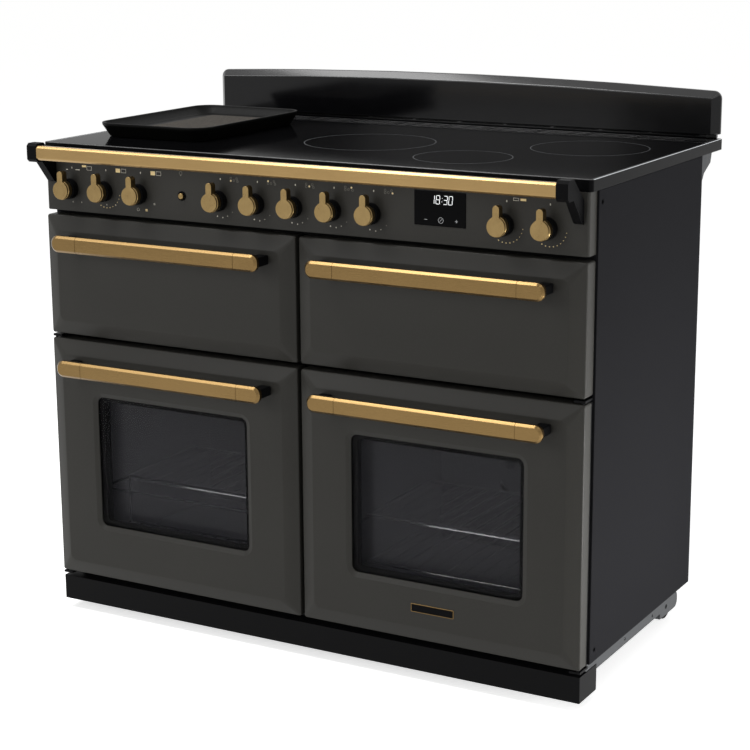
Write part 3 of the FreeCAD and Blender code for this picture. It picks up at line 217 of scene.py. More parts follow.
class Workpiece:
    """One mesh on the bench, shaped with Blender's own tools.

    Args:
        obj: The mesh object that is shaped.
    """

    # Facets in a corner of a loft's station.
    CORNER_STEPS = 7
    # Facets round the wire of a hoop.
    WIRE_STEPS = 8
    # Distance added between the stations of a loft while they are bridged.
    STRETCH = 400.0
    # Faces that turn by less than this many degrees count as one flat face.
    FLAT_TURN = 0.5

    def __init__(self, obj: bpy.types.Object) -> None:
        """Take an object onto the bench."""
        self.obj = obj

    @classmethod
    def taken(cls, name: str) -> "Workpiece":
        """Name the primitive that was just added and fix its size and place in its mesh."""
        obj = bpy.context.object
        obj.name = name
        obj.data.name = name
        bpy.ops.object.transform_apply(location=True, rotation=True, scale=True)
        return cls(obj)

    @classmethod
    def block(cls, name: str, box: Box) -> "Workpiece":
        """Start from a cube stretched to a box.

        Args:
            name: Name of the piece.
            box: Extent of the block.

        Returns:
            The block on the bench.
        """
        deselect()
        bpy.ops.mesh.primitive_cube_add(size=1, location=box.centre)
        bpy.context.object.scale = box.size
        return cls.taken(name)

    @classmethod
    def rod(cls, name: str, axis: Axis, at: tuple[float, float], radius: float, span: Span,
            sides: int = 48) -> "Workpiece":
        """Start from a cylinder along an axis.

        Args:
            name: Name of the piece.
            axis: Direction of the cylinder.
            at: Place on the two other axes.
            radius: Radius of the cylinder.
            span: Its two ends.
            sides: Number of sides.

        Returns:
            The rod on the bench.
        """
        deselect()
        bpy.ops.mesh.primitive_cylinder_add(vertices=sides, radius=radius * MM, depth=span.size * MM,
                                            location=axis.point(*at, span.middle), rotation=axis.value)
        return cls.taken(name)

    @classmethod
    def hoop(cls, name: str, axis: Axis, at: tuple[float, float, float], radius: float, wire: float,
             sides: int = 96) -> "Workpiece":
        """Start from a torus across an axis.

        Args:
            name: Name of the piece.
            axis: Direction of the hoop's own axis.
            at: Its centre across, up and along that axis.
            radius: Radius of the hoop.
            wire: Radius of its wire.
            sides: Steps round the hoop.

        Returns:
            The hoop on the bench.
        """
        deselect()
        bpy.ops.mesh.primitive_torus_add(major_radius=radius * MM, minor_radius=wire * MM,
                                         major_segments=sides, minor_segments=cls.WIRE_STEPS,
                                         location=axis.point(*at), rotation=axis.value)
        return cls.taken(name)

    @classmethod
    def loft(cls, name: str, axis: Axis, rings: Sequence[Ring], capped: bool = True) -> "Workpiece":
        """Bridge a row of rounded rectangles to one skin.

        Args:
            name: Name of the piece.
            axis: Direction in which the rings follow each other.
            rings: The stations from first to last.
            capped: Whether the first and the last ring get a face.

        Returns:
            The skin on the bench.
        """
        deselect()
        bpy.ops.mesh.primitive_plane_add(size=MM)
        piece = cls.taken(name)
        bpy.ops.object.mode_set(mode="EDIT")
        bpy.ops.mesh.select_all(action="SELECT")
        bpy.ops.mesh.delete(type="VERT")
        for number, ring in enumerate(rings):
            # The rings are bridged far apart, so that those in one plane don't twist, then drawn together.
            piece._add_ring(axis, ring.inset(0, ring.along + number * cls.STRETCH, ring.corner))
            piece.obj.vertex_groups.active.name = f"ring_{number}"
        for number in range(len(rings) - 1):
            piece._pick_rings(number, number + 1)
            bpy.ops.mesh.bridge_edge_loops()
        for number in (0, len(rings) - 1) if capped else ():
            piece._pick_rings(number)
            bpy.ops.mesh.edge_face_add()
        for number in range(1, len(rings)):
            piece._pick_rings(number)
            bpy.ops.transform.translate(value=axis.point(0, 0, -number * cls.STRETCH))
        bpy.ops.mesh.select_all(action="SELECT")
        bpy.ops.mesh.remove_doubles(threshold=TOUCH * MM)
        bpy.ops.mesh.normals_make_consistent(inside=False)
        bpy.ops.object.mode_set(mode="OBJECT")
        bpy.ops.object.vertex_group_remove(all=True)
        return piece

    def _add_ring(self, axis: Axis, ring: Ring) -> None:
        """Add one station of a loft in edit mode, kept in a vertex group of its own."""
        middle = axis.point(ring.across.middle, ring.up.middle, ring.along)
        bpy.ops.mesh.select_all(action="DESELECT")
        bpy.ops.mesh.primitive_plane_add(size=1, location=middle, rotation=axis.value)
        stretch = axis.point(ring.across.size, ring.up.size, 1 / MM)
        bpy.ops.transform.resize(value=stretch, center_override=middle)
        bpy.ops.mesh.bevel(offset=max(ring.corner, TOUCH) * MM, segments=self.CORNER_STEPS, profile=0.5,
                           affect="VERTICES")
        bpy.ops.object.vertex_group_assign_new()
        bpy.ops.mesh.delete(type="ONLY_FACE")

    def _pick_rings(self, *numbers: int) -> None:
        """Select the vertices of some stations in edit mode."""
        bpy.ops.mesh.select_mode(type="VERT")
        bpy.ops.mesh.select_all(action="DESELECT")
        for number in numbers:
            bpy.ops.object.vertex_group_set_active(group=f"ring_{number}")
            bpy.ops.object.vertex_group_select()

    @classmethod
    def prism(cls, name: str, axis: Axis, ring: Ring, end: float) -> "Workpiece":
        """Draw one rounded rectangle along an axis.

        Args:
            name: Name of the piece.
            axis: Direction of the prism.
            ring: Its first end.
            end: Place of its other end on the axis.

        Returns:
            The prism on the bench.
        """
        return cls.loft(name, axis, [ring, ring.inset(0, end, ring.corner)])

    @classmethod
    def copy_of_node(cls, name: str, node: str, nodes: dict[str, bpy.types.Object]) -> "Workpiece":
        """Start from a merged copy of a model node's mesh.

        Args:
            name: Name of the piece.
            node: Name of the model node.
            nodes: The model's objects by name.

        Returns:
            The copy on the bench, with its flat faces whole.
        """
        deselect()
        obj = bpy.data.objects.new(name, nodes[node].data.copy())
        bpy.context.scene.collection.objects.link(obj)
        obj.data.materials.clear()
        piece = cls(obj)
        piece.edit("VERT")
        bpy.ops.mesh.select_all(action="SELECT")
        bpy.ops.mesh.remove_doubles(threshold=TOUCH * MM)
        bpy.ops.mesh.dissolve_limited(angle_limit=math.radians(cls.FLAT_TURN))
        bpy.ops.object.mode_set(mode="OBJECT")
        return piece

    def activate(self) -> "Workpiece":
        """Make this piece the only one selected."""
        deselect()
        self.obj.select_set(True)
        bpy.context.view_layer.objects.active = self.obj
        return self

    def edit(self, mode: str) -> None:
        """Enter edit mode with nothing selected.

        Args:
            mode: VERT, EDGE or FACE.
        """
        self.activate()
        bpy.ops.object.mode_set(mode="EDIT")
        bpy.ops.mesh.select_mode(type=mode)
        bpy.ops.mesh.select_all(action="DESELECT")

    def select_faces(self, test: Callable[[bpy.types.MeshPolygon], bool]) -> None:
        """Enter edit mode with the faces selected that pass a test.

        Args:
            test: Tells whether a face is wanted.
        """
        self.edit("FACE")
        bpy.ops.object.mode_set(mode="OBJECT")
        for face in self.obj.data.polygons:
            face.select = test(face)
        bpy.ops.object.mode_set(mode="EDIT")

    def select_edges(self, test: Callable[[Vector, Vector], bool]) -> None:
        """Enter edit mode with the edges selected whose two ends pass a test.

        Args:
            test: Takes the two ends in millimetres and tells whether the edge is wanted.
        """
        self.edit("EDGE")
        bpy.ops.object.mode_set(mode="OBJECT")
        vertices = self.obj.data.vertices
        for edge in self.obj.data.edges:
            start, end = [vertices[number].co / MM for number in edge.vertices]
            edge.select = test(start, end)
        bpy.ops.object.mode_set(mode="EDIT")

    def bevel_selected(self, width: float, steps: int) -> "Workpiece":
        """Round the selected edges and leave edit mode.

        Args:
            width: Width of the bevel.
            steps: Number of facets.

        Returns:
            This piece.
        """
        bpy.ops.mesh.bevel(offset=width * MM, segments=steps, profile=0.5, affect="EDGES")
        bpy.ops.object.mode_set(mode="OBJECT")
        return self

    def modify(self, kind: str, **settings: object) -> "Workpiece":
        """Add a modifier and apply it.

        Args:
            kind: Blender's name for the modifier.
            settings: Its properties.

        Returns:
            This piece.
        """
        self.activate()
        modifier = self.obj.modifiers.new(kind.lower(), kind)
        for name, value in settings.items():
            setattr(modifier, name, value)
        bpy.ops.object.modifier_apply(modifier=modifier.name)
        return self

    def rounded(self, width: float, steps: int = 3, angle: float = 30) -> "Workpiece":
        """Round every edge that turns by more than an angle.

        Args:
            width: Width of the bevel.
            steps: Number of facets.
            angle: Least turn in degrees.

        Returns:
            This piece.
        """
        return self.modify("BEVEL", width=width * MM, segments=steps, limit_method="ANGLE",
                           angle_limit=math.radians(angle), use_clamp_overlap=True)

    def smoothed(self, angle: float = 40) -> "Workpiece":
        """Shade smoothly across gentle turns, with flat faces kept flat."""
        self.activate()
        bpy.ops.object.shade_smooth_by_angle(angle=math.radians(angle))
        return self.modify("WEIGHTED_NORMAL", mode="FACE_AREA", weight=50, keep_sharp=True)

    def moved(self, step: Vector) -> "Workpiece":
        """Shift the mesh by a step in millimetres."""
        self.obj.data.transform(Matrix.Translation(step * MM))
        return self

    def turned(self, axis: Axis, angle: float, about: Vector) -> "Workpiece":
        """Turn the mesh about an axis through a point.

        Args:
            axis: Direction of the axis.
            angle: Turn in degrees.
            about: A point on the axis, in millimetres.

        Returns:
            This piece.
        """
        there = Matrix.Translation(about * MM)
        turn = Matrix.Rotation(math.radians(angle), 4, axis.name)
        self.obj.data.transform(there @ turn @ there.inverted())
        return self

    def flattened(self, height: float, share: float) -> "Workpiece":
        """Press the mesh flat towards a height, to a share of its thickness."""
        there = Matrix.Translation((0, 0, height * MM))
        self.obj.data.transform(there @ Matrix.Diagonal((1, 1, share, 1)) @ there.inverted())
        return self

    def drilled(self, other: "Workpiece") -> "Workpiece":
        """Cut another piece out of this one and use it up."""
        self.modify("BOOLEAN", operation="DIFFERENCE", object=other.obj, solver="EXACT")
        bpy.data.objects.remove(other.obj)
        return self

    def copied(self, name: str) -> "Workpiece":
        """Copy the piece with a mesh of its own."""
        obj = self.obj.copy()
        obj.data = self.obj.data.copy()
        obj.name = name
        obj.data.name = name
        bpy.context.scene.collection.objects.link(obj)
        return Workpiece(obj)

    def joined(self, others: Iterable["Workpiece"]) -> "Workpiece":
        """Take other pieces into this one."""
        others = list(others)
        self.activate()
        for other in others:
            other.obj.select_set(True)
        if others:
            bpy.ops.object.join()
        return self

    @classmethod
    def gathered(cls, name: str, pieces: Iterable["Workpiece"]) -> "Workpiece":
        """Join pieces to one.

        Args:
            name: Name of the whole.
            pieces: The pieces, at least one.

        Returns:
            The whole.
        """
        first, *rest = pieces
        whole = first.joined(rest)
        whole.obj.name = name
        whole.obj.data.name = name
        return whole

    def grooved(self, place: float, width: float, depth: float) -> "Workpiece":
        """Sink a narrow groove right round the piece, across X.

        Args:
            place: Where the groove lies on X.
            width: Width of the groove.
            depth: Depth of the groove.

        Returns:
            This piece.
        """
        for edge in (place - width / 2, place + width / 2):
            self.edit("FACE")
            bpy.ops.mesh.select_all(action="SELECT")
            bpy.ops.mesh.bisect(plane_co=(edge * MM, 0, 0), plane_no=(1, 0, 0))
            bpy.ops.object.mode_set(mode="OBJECT")
        self.select_faces(lambda face: abs(face.center.x / MM - place) < width / 2
                          and abs(face.normal.x) < 0.5)
        bpy.ops.mesh.extrude_region_shrink_fatten(
            TRANSFORM_OT_shrink_fatten={"value": -depth * MM, "use_even_offset": True})
        bpy.ops.object.mode_set(mode="OBJECT")
        return self


def linear(code: str) -> tuple[float, float, float, float]:
    """Turn an sRGB hex value to linear red, green, blue and alpha.

    Args:
        code: Six hex digits after a hash sign.

    Returns:
        The linear colour, fully opaque.
    """
    parts = [int(code[place:place + 2], 16) / 255 for place in (1, 3, 5)]
    red, green, blue = [p / 12.92 if p <= 0.04045 else ((p + 0.055) / 1.055) ** 2.4 for p in parts]
    return red, green, blue, 1.0


def per_metre(feature: float) -> float:
    """Texture scale at which one feature measures this many millimetres."""
    return 1000 / feature


def add_node(tree: bpy.types.NodeTree, kind: str, inputs: Optional[dict[Union[str, int], NodeInput]] = None,
             **settings: object) -> bpy.types.Node:
    """Add a node with its settings and links.

    Args:
        tree: The node tree.
        kind: Blender's name for the node.
        inputs: A value or a socket to link for each input.
        settings: The node's own properties.

    Returns:
        The new node.
    """
    node = tree.nodes.new(kind)
    for name, value in settings.items():
        setattr(node, name, value)
    for name, value in (inputs or {}).items():
        if isinstance(value, bpy.types.NodeSocket):
            tree.links.new(value, node.inputs[name])
        else:
            node.inputs[name].default_value = value
    return node


def ramp(tree: bpy.types.NodeTree, source: bpy.types.NodeSocket, stops: Sequence[tuple[float, str]],
         ) -> bpy.types.NodeSocket:
    """Colour a value by a row of stops.

    Args:
        tree: The node tree.
        source: The value.
        stops: Places from 0 to 1 with their colours.

    Returns:
        The colour.
    """
    node = add_node(tree, "ShaderNodeValToRGB", {"Fac": source})
    elements = node.color_ramp.elements
    while len(elements) < len(stops):
        elements.new(0.5)
    for element, (place, code) in zip(elements, stops):
        element.position = place
        element.color = linear(code)
    return node.outputs["Color"]


# Most values of a noise texture lie in this part of its range.
NOISE = Span(0.3, 0.7)


@dataclass(frozen=True)
class Finish:
    """A surface: what it is made of and how it was made.

    Args:
        name: Name of the material.
        slot: Name of its material slot; not used.
        dark: Darker colour of its slight variation.
        light: Lighter colour of its slight variation.
        roughness: Middle roughness.
        spread: How far the roughness varies to each side.
        metallic: 1 for bare metal.
        specular: Specular level, 0.5 for common coatings.
        cloud: Size of the slow colour variation.
        grain: Size of the fine surface texture.
        stretch: How much longer the grain is on each axis.
        relief: Depth of the fine surface texture, 0 for a float-glass surface.
        coat: Weight of a clear gloss layer.
        alpha: Share of light that the surface stops.
        glow: Strength of its own light.
    """

    name: str
    slot: str
    dark: str
    light: str
    roughness: float
    spread: float = 0.04
    metallic: float = 0.0
    specular: float = 0.5
    cloud: float = 120.0
    grain: float = 2.0
    stretch: tuple[float, float, float] = (1.0, 1.0, 1.0)
    relief: float = 0.02
    coat: float = 0.0
    alpha: float = 1.0
    glow: float = 0.0

    def material(self) -> bpy.types.Material:
        """Make the material once and hand it out after that.

        Returns:
            The material.
        """
        made = bpy.data.materials.get(self.name)
        if made:
            return made
        made = bpy.data.materials.new(self.name)
        made.use_nodes = True
        tree = made.node_tree
        tree.nodes.clear()
        place = add_node(tree, "ShaderNodeTexCoord").outputs["Object"]
        along = add_node(tree, "ShaderNodeMapping", {"Vector": place, "Scale": [1 / s for s in self.stretch]})
        cloud = add_node(tree, "ShaderNodeTexNoise",
                         {"Vector": place, "Scale": per_metre(self.cloud), "Detail": 3.0})
        grain = add_node(tree, "ShaderNodeTexNoise",
                         {"Vector": along.outputs["Vector"], "Scale": per_metre(self.grain), "Detail": 4.0})
        mixed = add_node(tree, "ShaderNodeMath", {0: cloud.outputs["Fac"], 1: grain.outputs["Fac"]},
                         operation="ADD")
        half = add_node(tree, "ShaderNodeMath", {0: mixed.outputs["Value"], 1: 0.5}, operation="MULTIPLY")
        colour = ramp(tree, half.outputs["Value"], [(NOISE.low, self.dark), (NOISE.high, self.light)])
        rough = add_node(tree, "ShaderNodeMapRange", {
            "Value": half.outputs["Value"], "From Min": NOISE.low, "From Max": NOISE.high,
            "To Min": self.roughness - self.spread, "To Max": self.roughness + self.spread})
        surface = add_node(tree, "ShaderNodeBsdfPrincipled", {
            "Base Color": colour, "Roughness": rough.outputs["Result"], "Metallic": self.metallic,
            "Alpha": self.alpha, "Coat Weight": self.coat})
        if self.relief:
            bump = add_node(tree, "ShaderNodeBump", {
                "Height": grain.outputs["Fac"], "Strength": 0.3, "Distance": self.relief * MM})
            tree.links.new(bump.outputs["Normal"], surface.inputs["Normal"])
        if not self.metallic:
            surface.inputs["Specular IOR Level"].default_value = self.specular
        if self.glow:
            surface.inputs["Emission Color"].default_value = linear(self.light)
            surface.inputs["Emission Strength"].default_value = self.glow
        add_node(tree, "ShaderNodeOutputMaterial", {"Surface": surface.outputs["BSDF"]})
        return made


# Stove enamel, sprayed and fired: a warm dark grey with a soft sheen and a faint orange peel.
SLATE = Finish("fired_slate_enamel", "slate_enamel", "#2e2d2a", "#32312e", 0.42, 0.03, specular=0.15,
               relief=0.012, grain=3, cloud=160)
# Black vitreous enamel on the frame, the plinth and the inside of the doors: deep, with little sheen.
BLACK_ENAMEL = Finish("fired_black_enamel", "black_enamel", "#070708", "#0a0a0b", 0.45, specular=0.06)
# Powder-coated side sheet: black with a fine even tooth that spreads the light.
SIDE_SHEET = Finish("side_powder_coat", "side_sheet", "#1b1b1d", "#1e1e20", 0.6, specular=0.01, grain=1.2,
                    relief=0.03)
# Grey vitreous enamel of the oven linings, speckled by the ground coat.
CAVITY = Finish("fired_grey_enamel", "cavity_enamel", "#4e4e53", "#5c5c62", 0.35, specular=0.3, grain=2.5,
                relief=0.03)
# Galvanised sheet: zinc with large soft spangles.
GALVANISED = Finish("galvanised_sheet", "galvanised", "#404143", "#4c4e50", 0.5, 0.08, metallic=0.85,
                    cloud=25, grain=6)
# Chromed wire: a mirror with slight unevenness.
CHROME = Finish("chromed_wire", "chrome_wire", "#d6d7d9", "#e6e7ea", 0.15, metallic=1.0, grain=4)
# Brass, brushed along its length and lacquered: fine lines that spread the highlights across them.
# The lines are drawn about four times as wide as real brushing, so that they show.
BRASS = Finish("brushed_brass", "brass", "#6c5737", "#79623e", 0.28, 0.05, metallic=1.0, cloud=180, grain=0.7,
               stretch=(60, 1, 1), relief=0.006)
# The rail's brass is brushed finer, so it looks a shade lighter than the handles.
RAIL_BRASS = Finish("fine_brushed_brass", "brass", "#8f764d", "#9e8358", 0.25, 0.04, metallic=1.0, cloud=180,
                    grain=0.6, stretch=(60, 1, 1), relief=0.004)
# Brass, cast and blasted for the knobs: an even satin with a fine mottle.
SATIN_BRASS = Finish("satin_brass", "brass", "#7e6945", "#8b764f", 0.3, 0.04, metallic=1.0, cloud=14,
                     grain=1.2, relief=0.004)
# Moulded phenolic plastic: black, with the dull skin of the mould.
PLASTIC = Finish("black_moulded_plastic", "black_plastic", "#060607", "#0a0a0b", 0.5, specular=0.04,
                 grain=0.8, relief=0.02)
# Black ceramic glass of the hob: deep and smooth, with hardly any sheen.
CERAMIC = Finish("black_ceramic_glass", "hob_ceramic", "#070708", "#0a0a0b", 0.08, 0.01, specular=0.003,
                 cloud=200, grain=30, relief=0.0)
# Black gloss enamel of the upstand: a deep, wet shine.
GLOSS_ENAMEL = Finish("black_gloss_enamel", "hob_ceramic", "#060607", "#09090b", 0.12, 0.02, specular=0.25,
                      cloud=200, grain=30, relief=0.0)
# A lighter, shinier copy of the gloss enamel: the vent's own finish, and a painted highlight on the upward-
# and forward-leaning rounded edges of the upstand and the hob frame, where it draws a bright line.
VENT_ENAMEL_AND_EDGE_HIGHLIGHT = Finish("enamelled_edge", "hob_ceramic", "#0a0a0b", "#0e0e10", 0.15, 0.02, specular=0.6,
                     cloud=200, grain=30, relief=0.0)
# Black enamel of the hob frame, with less shine than the glass in it.
FRAME_ENAMEL = Finish("hob_frame_enamel", "hob_ceramic", "#09090a", "#0d0d0e", 0.3, 0.03, specular=0.03,
                      cloud=200, grain=30, relief=0.0)
# Painted highlight: pale polished metal on the upward-leaning rounded edges at the ends of the hob frame,
# which draws a fine pale line there.
PAINTED_END_HIGHLIGHT = Finish("polished_trim", "galvanised", "#d2d5d9", "#e0e3e7", 0.2, 0.03, metallic=1.0, cloud=60)
# Dark filter glass over the clock.
DISPLAY_GLASS = Finish("clock_filter_glass", "display_glass", "#010102", "#030304", 0.1, 0.02, specular=0.05,
                       relief=0.0)
# Toughened oven glass with a smoke tint.
WINDOW = Finish("smoked_oven_glass", "window_glass", "#0b0b0d", "#0e0e10", 0.05, 0.01, specular=0.35,
                alpha=0.05, relief=0.0)
# Inner oven glass with a grey haze that veils the inside; its lit grey is painted light that stands in for
# the dim glow inside the oven.
INNER_GLASS_PAINTED_LIGHT = Finish("filmed_oven_glass", "window_glass", "#47474d", "#4d4d53", 0.2, 0.02, specular=0.2,
                      alpha=0.26, cloud=200, relief=0.0)
# Woven glass-fibre cord round the oven mouths.
SEAL = Finish("woven_seal", "seal_cord", "#2c2c2b", "#45443f", 0.85, cloud=6, grain=1.6, relief=0.3)
# Cast aluminium with a black non-stick coat: dull, slightly pebbled.
GRIDDLE = Finish("non_stick_coat", "griddle_coat", "#040404", "#090908", 0.5, 0.08, specular=0.1, cloud=6,
                 grain=2.2, relief=0.25)
# The same coat on the ribs, painted a speckled grey: a painted sheen that stands in for the light the ribbed
# floor catches.
RIB_COAT_PAINTED_SHEEN = Finish("worn_non_stick_coat", "griddle_coat", "#060605", "#544e47", 0.55, 0.1, specular=0.12,
                   cloud=4, grain=1.6, relief=0.35)
# Litz copper under the hob, varnished.
COIL = Finish("varnished_copper", "coil_wire", "#7a4a2c", "#96603c", 0.4, metallic=0.9, cloud=6, grain=1.5)
# Steel-sheathed heating element, oxidised by heat.
ELEMENT = Finish("oxidised_sheath", "element_tube", "#2d2b29", "#45413c", 0.5, metallic=0.8, cloud=15)
# Gold screen print on the panel.
GOLD_PRINT = Finish("gold_print", "brass", "#e6cb90", "#f3dca6", 0.5, specular=0.3, cloud=10)
# Pale screen print on the panel and the glass.
PALE_PRINT = Finish("pale_print", "galvanised", "#bdb8ac", "#d6d1c4", 0.55, specular=0.3, cloud=10)
# Thin grey screen print of the icons.
FAINT_PRINT = Finish("faint_print", "galvanised", "#77746d", "#86837b", 0.55, specular=0.2, cloud=10)
# Grey ring print fired into the hob glass.
RING_PRINT = Finish("fired_ring_print", "hob_ceramic", "#4a4c4f", "#56585b", 0.4, specular=0.1, cloud=10)
# Lit segments of the clock.
LIT = Finish("lit_segment", "display_glass", "#e8eaec", "#f4f6f8", 0.5, glow=0.8)
# Touch marks under the clock, lit at half strength.
DIM_LIT = Finish("dim_touch_mark", "display_glass", "#9a9c9e", "#a6a8aa", 0.5, glow=0.6)


def dress(piece: Workpiece, finish: Finish, body: str = COOKER, replaces: Sequence[str] = ()) -> Workpiece:
    """Give a finished piece its material, its body and the nodes that it stands for.

    Args:
        piece: The piece.
        finish: Its surface.
        body: The body that it moves with.
        replaces: The model nodes that it stands for.

    Returns:
        The piece.
    """
    obj = piece.obj
    obj.data.materials.clear()
    obj.data.materials.append(finish.material())
    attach(obj, body)
    if replaces:
        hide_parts(*replaces)
    LOG.info("%s on %s: %d faces", obj.name, body, len(obj.data.polygons))
    return piece


def paint_edge_highlight(piece: Workpiece, finish: Finish, wanted: Callable[[Vector], bool]) -> None:
    """Paint a highlight along the rounded edges of a dressed piece by giving them a finish of their own.

    Args:
        piece: The piece.
        finish: Surface of its edges.
        wanted: Takes the way an edge's facet looks and tells whether it is one of them.
    """
    data = piece.obj.data
    data.materials.append(finish.material())
    for face in data.polygons:
        if max(abs(part) for part in face.normal) < SQUARE_ON and wanted(face.normal):
            face.material_index = len(data.materials) - 1


@dataclass
class SubAssembly:
    """A group of pieces that are made together.

    Args:
        nodes: The model's objects by name.
    """

    nodes: dict[str, bpy.types.Object]

    def copied(self, node: str) -> Workpiece:
        """Start from a copy of one of the model's nodes."""
        return Workpiece.copy_of_node(f"{node}_part", node, self.nodes)

    def softened(self, node: str, finish: Finish, width: float, body: str = COOKER,
                 steps: int = 2) -> Workpiece:
        """Stand in for a node with a copy whose edges are rounded.

        Args:
            node: The node.
            finish: Its surface.
            width: Width of the rounding.
            body: The body that it moves with.
            steps: Facets of the rounding.

        Returns:
            The new piece.
        """
        piece = self.copied(node).rounded(width, steps).smoothed()
        return dress(piece, finish, body, [node])

    def painted(self, node: str, finish: Finish) -> None:
        """Keep a node as it is and give it a finish."""
        obj = self.nodes[node]
        obj.data.materials.clear()
        obj.data.materials.append(finish.material())
        LOG.info("%s keeps its shape", node)


@dataclass
class Pressing:
    """Profile of a pressed front: a rim, a sloping border and a raised field.

    Args:
        rim: Radius of the rim's edge.
        rim_steps: Facets of the rim's edge.
        border: Width of the sloping border.
        rise: How far the field stands in front of the rim.
        rim_corner: Corner radius of the rim.
        field_corner: Corner radius of the field.
        sheet: Thickness of the sheet.
        steps: Stations across the border.
        ease: How soon the slope flattens out.
    """

    rim: float = 3.0
    rim_steps: int = 3
    border: float = 29.0
    rise: float = 10.0
    rim_corner: float = 4.0
    field_corner: float = 14.0
    sheet: float = 1.6
    steps: int = 10
    ease: float = 1.15

    def rings(self, outer: Box) -> list[Ring]:
        """Stations from the rear edge of the rim to the field.

        Args:
            outer: Extent of the front.

        Returns:
            The stations.
        """
        face = outer.y.low + self.rise
        start = Ring(outer.x, outer.z, outer.y.high, self.rim_corner)
        rings = [start]
        for step in range(self.rim_steps + 1):
            turn = step / self.rim_steps * math.pi / 2
            rings.append(start.inset(self.rim * (1 - math.cos(turn)), face + self.rim * (1 - math.sin(turn)),
                                     self.rim_corner))
        for step in range(1, self.steps + 1):
            share = step / self.steps
            inset = self.rim + (self.border - self.rim) * share
            lift = self.rise * (1 - (1 - share) ** self.ease)
            corner = self.rim_corner + (self.field_corner - self.rim_corner) * share
            rings.append(start.inset(inset, face - lift, corner))
        return rings


@dataclass
class HandleBar:
    """A flat brass bar with rounded ends, two seams and two posts.

    Args:
        depth: Thickness of the bar.
        bevel: Width of the bevel round its front.
        crease: Rounding of the bevel's edges.
        back_round: Rounding of the edge round its back.
        end_corner: Radius of its corners.
        seam: Distance of each seam from the middle.
        seam_shift: How far both seams lie to the right of that.
        seam_width: Width of a seam.
        seam_depth: Depth of a seam.
        post_inset: Distance of a post's middle from the end.
        post_width: Width of a post.
        post_height: Height of a post.
        post_round: Rounding of a post's edges.
        post_sink: How far a post reaches into the bar.
    """

    depth: float = 12.0
    bevel: float = 4.5
    crease: float = 0.4
    back_round: float = 1.2
    end_corner: float = 13.5
    seam: float = 170.5
    seam_shift: float = 4.0
    seam_width: float = 0.8
    seam_depth: float = 0.7
    post_inset: float = 15.0
    post_width: float = 22.0
    post_height: float = 17.0
    post_round: float = 2.5
    post_sink: float = 1.0

    def made(self, node: str) -> Workpiece:
        """Make the bar for a node.

        Args:
            node: The handle's node.

        Returns:
            The bar without its posts.
        """
        outer = Box.of_node(node)
        front, back = outer.y.low, outer.y.low + self.depth
        ring = Ring(outer.x, outer.z, back, self.end_corner)
        profile = ((self.back_round, back), (0, back - self.back_round), (0, front + self.bevel),
                   (self.crease / 2, front + self.bevel - self.crease),
                   (self.bevel - self.crease, front + self.crease / 2), (self.bevel, front))
        stations = [ring.inset(inset, y, self.end_corner - inset) for inset, y in profile]
        bar = Workpiece.loft(f"{node}_bar", Axis.Y, stations)
        for side in SIDES.values():
            bar.grooved(outer.x.middle + self.seam_shift + self.seam * side, self.seam_width, self.seam_depth)
        return bar.smoothed(30)

    def posts(self, node: str) -> Workpiece:
        """Make the two posts behind the bar.

        Args:
            node: The handle's node.

        Returns:
            Both posts as one piece.
        """
        outer = Box.of_node(node)
        depth = Span(outer.y.low + self.depth - self.post_sink, outer.y.high)
        made = []
        for side in SIDES.values():
            x = Span.about(outer.x.middle + (outer.x.size / 2 - self.post_inset) * side, self.post_width)
            z = Span.about(outer.z.middle, self.post_height)
            made.append(Workpiece.block("post", Box(x, depth, z)).rounded(self.post_round))
        return Workpiece.gathered(f"{node}_posts", made).smoothed(30)


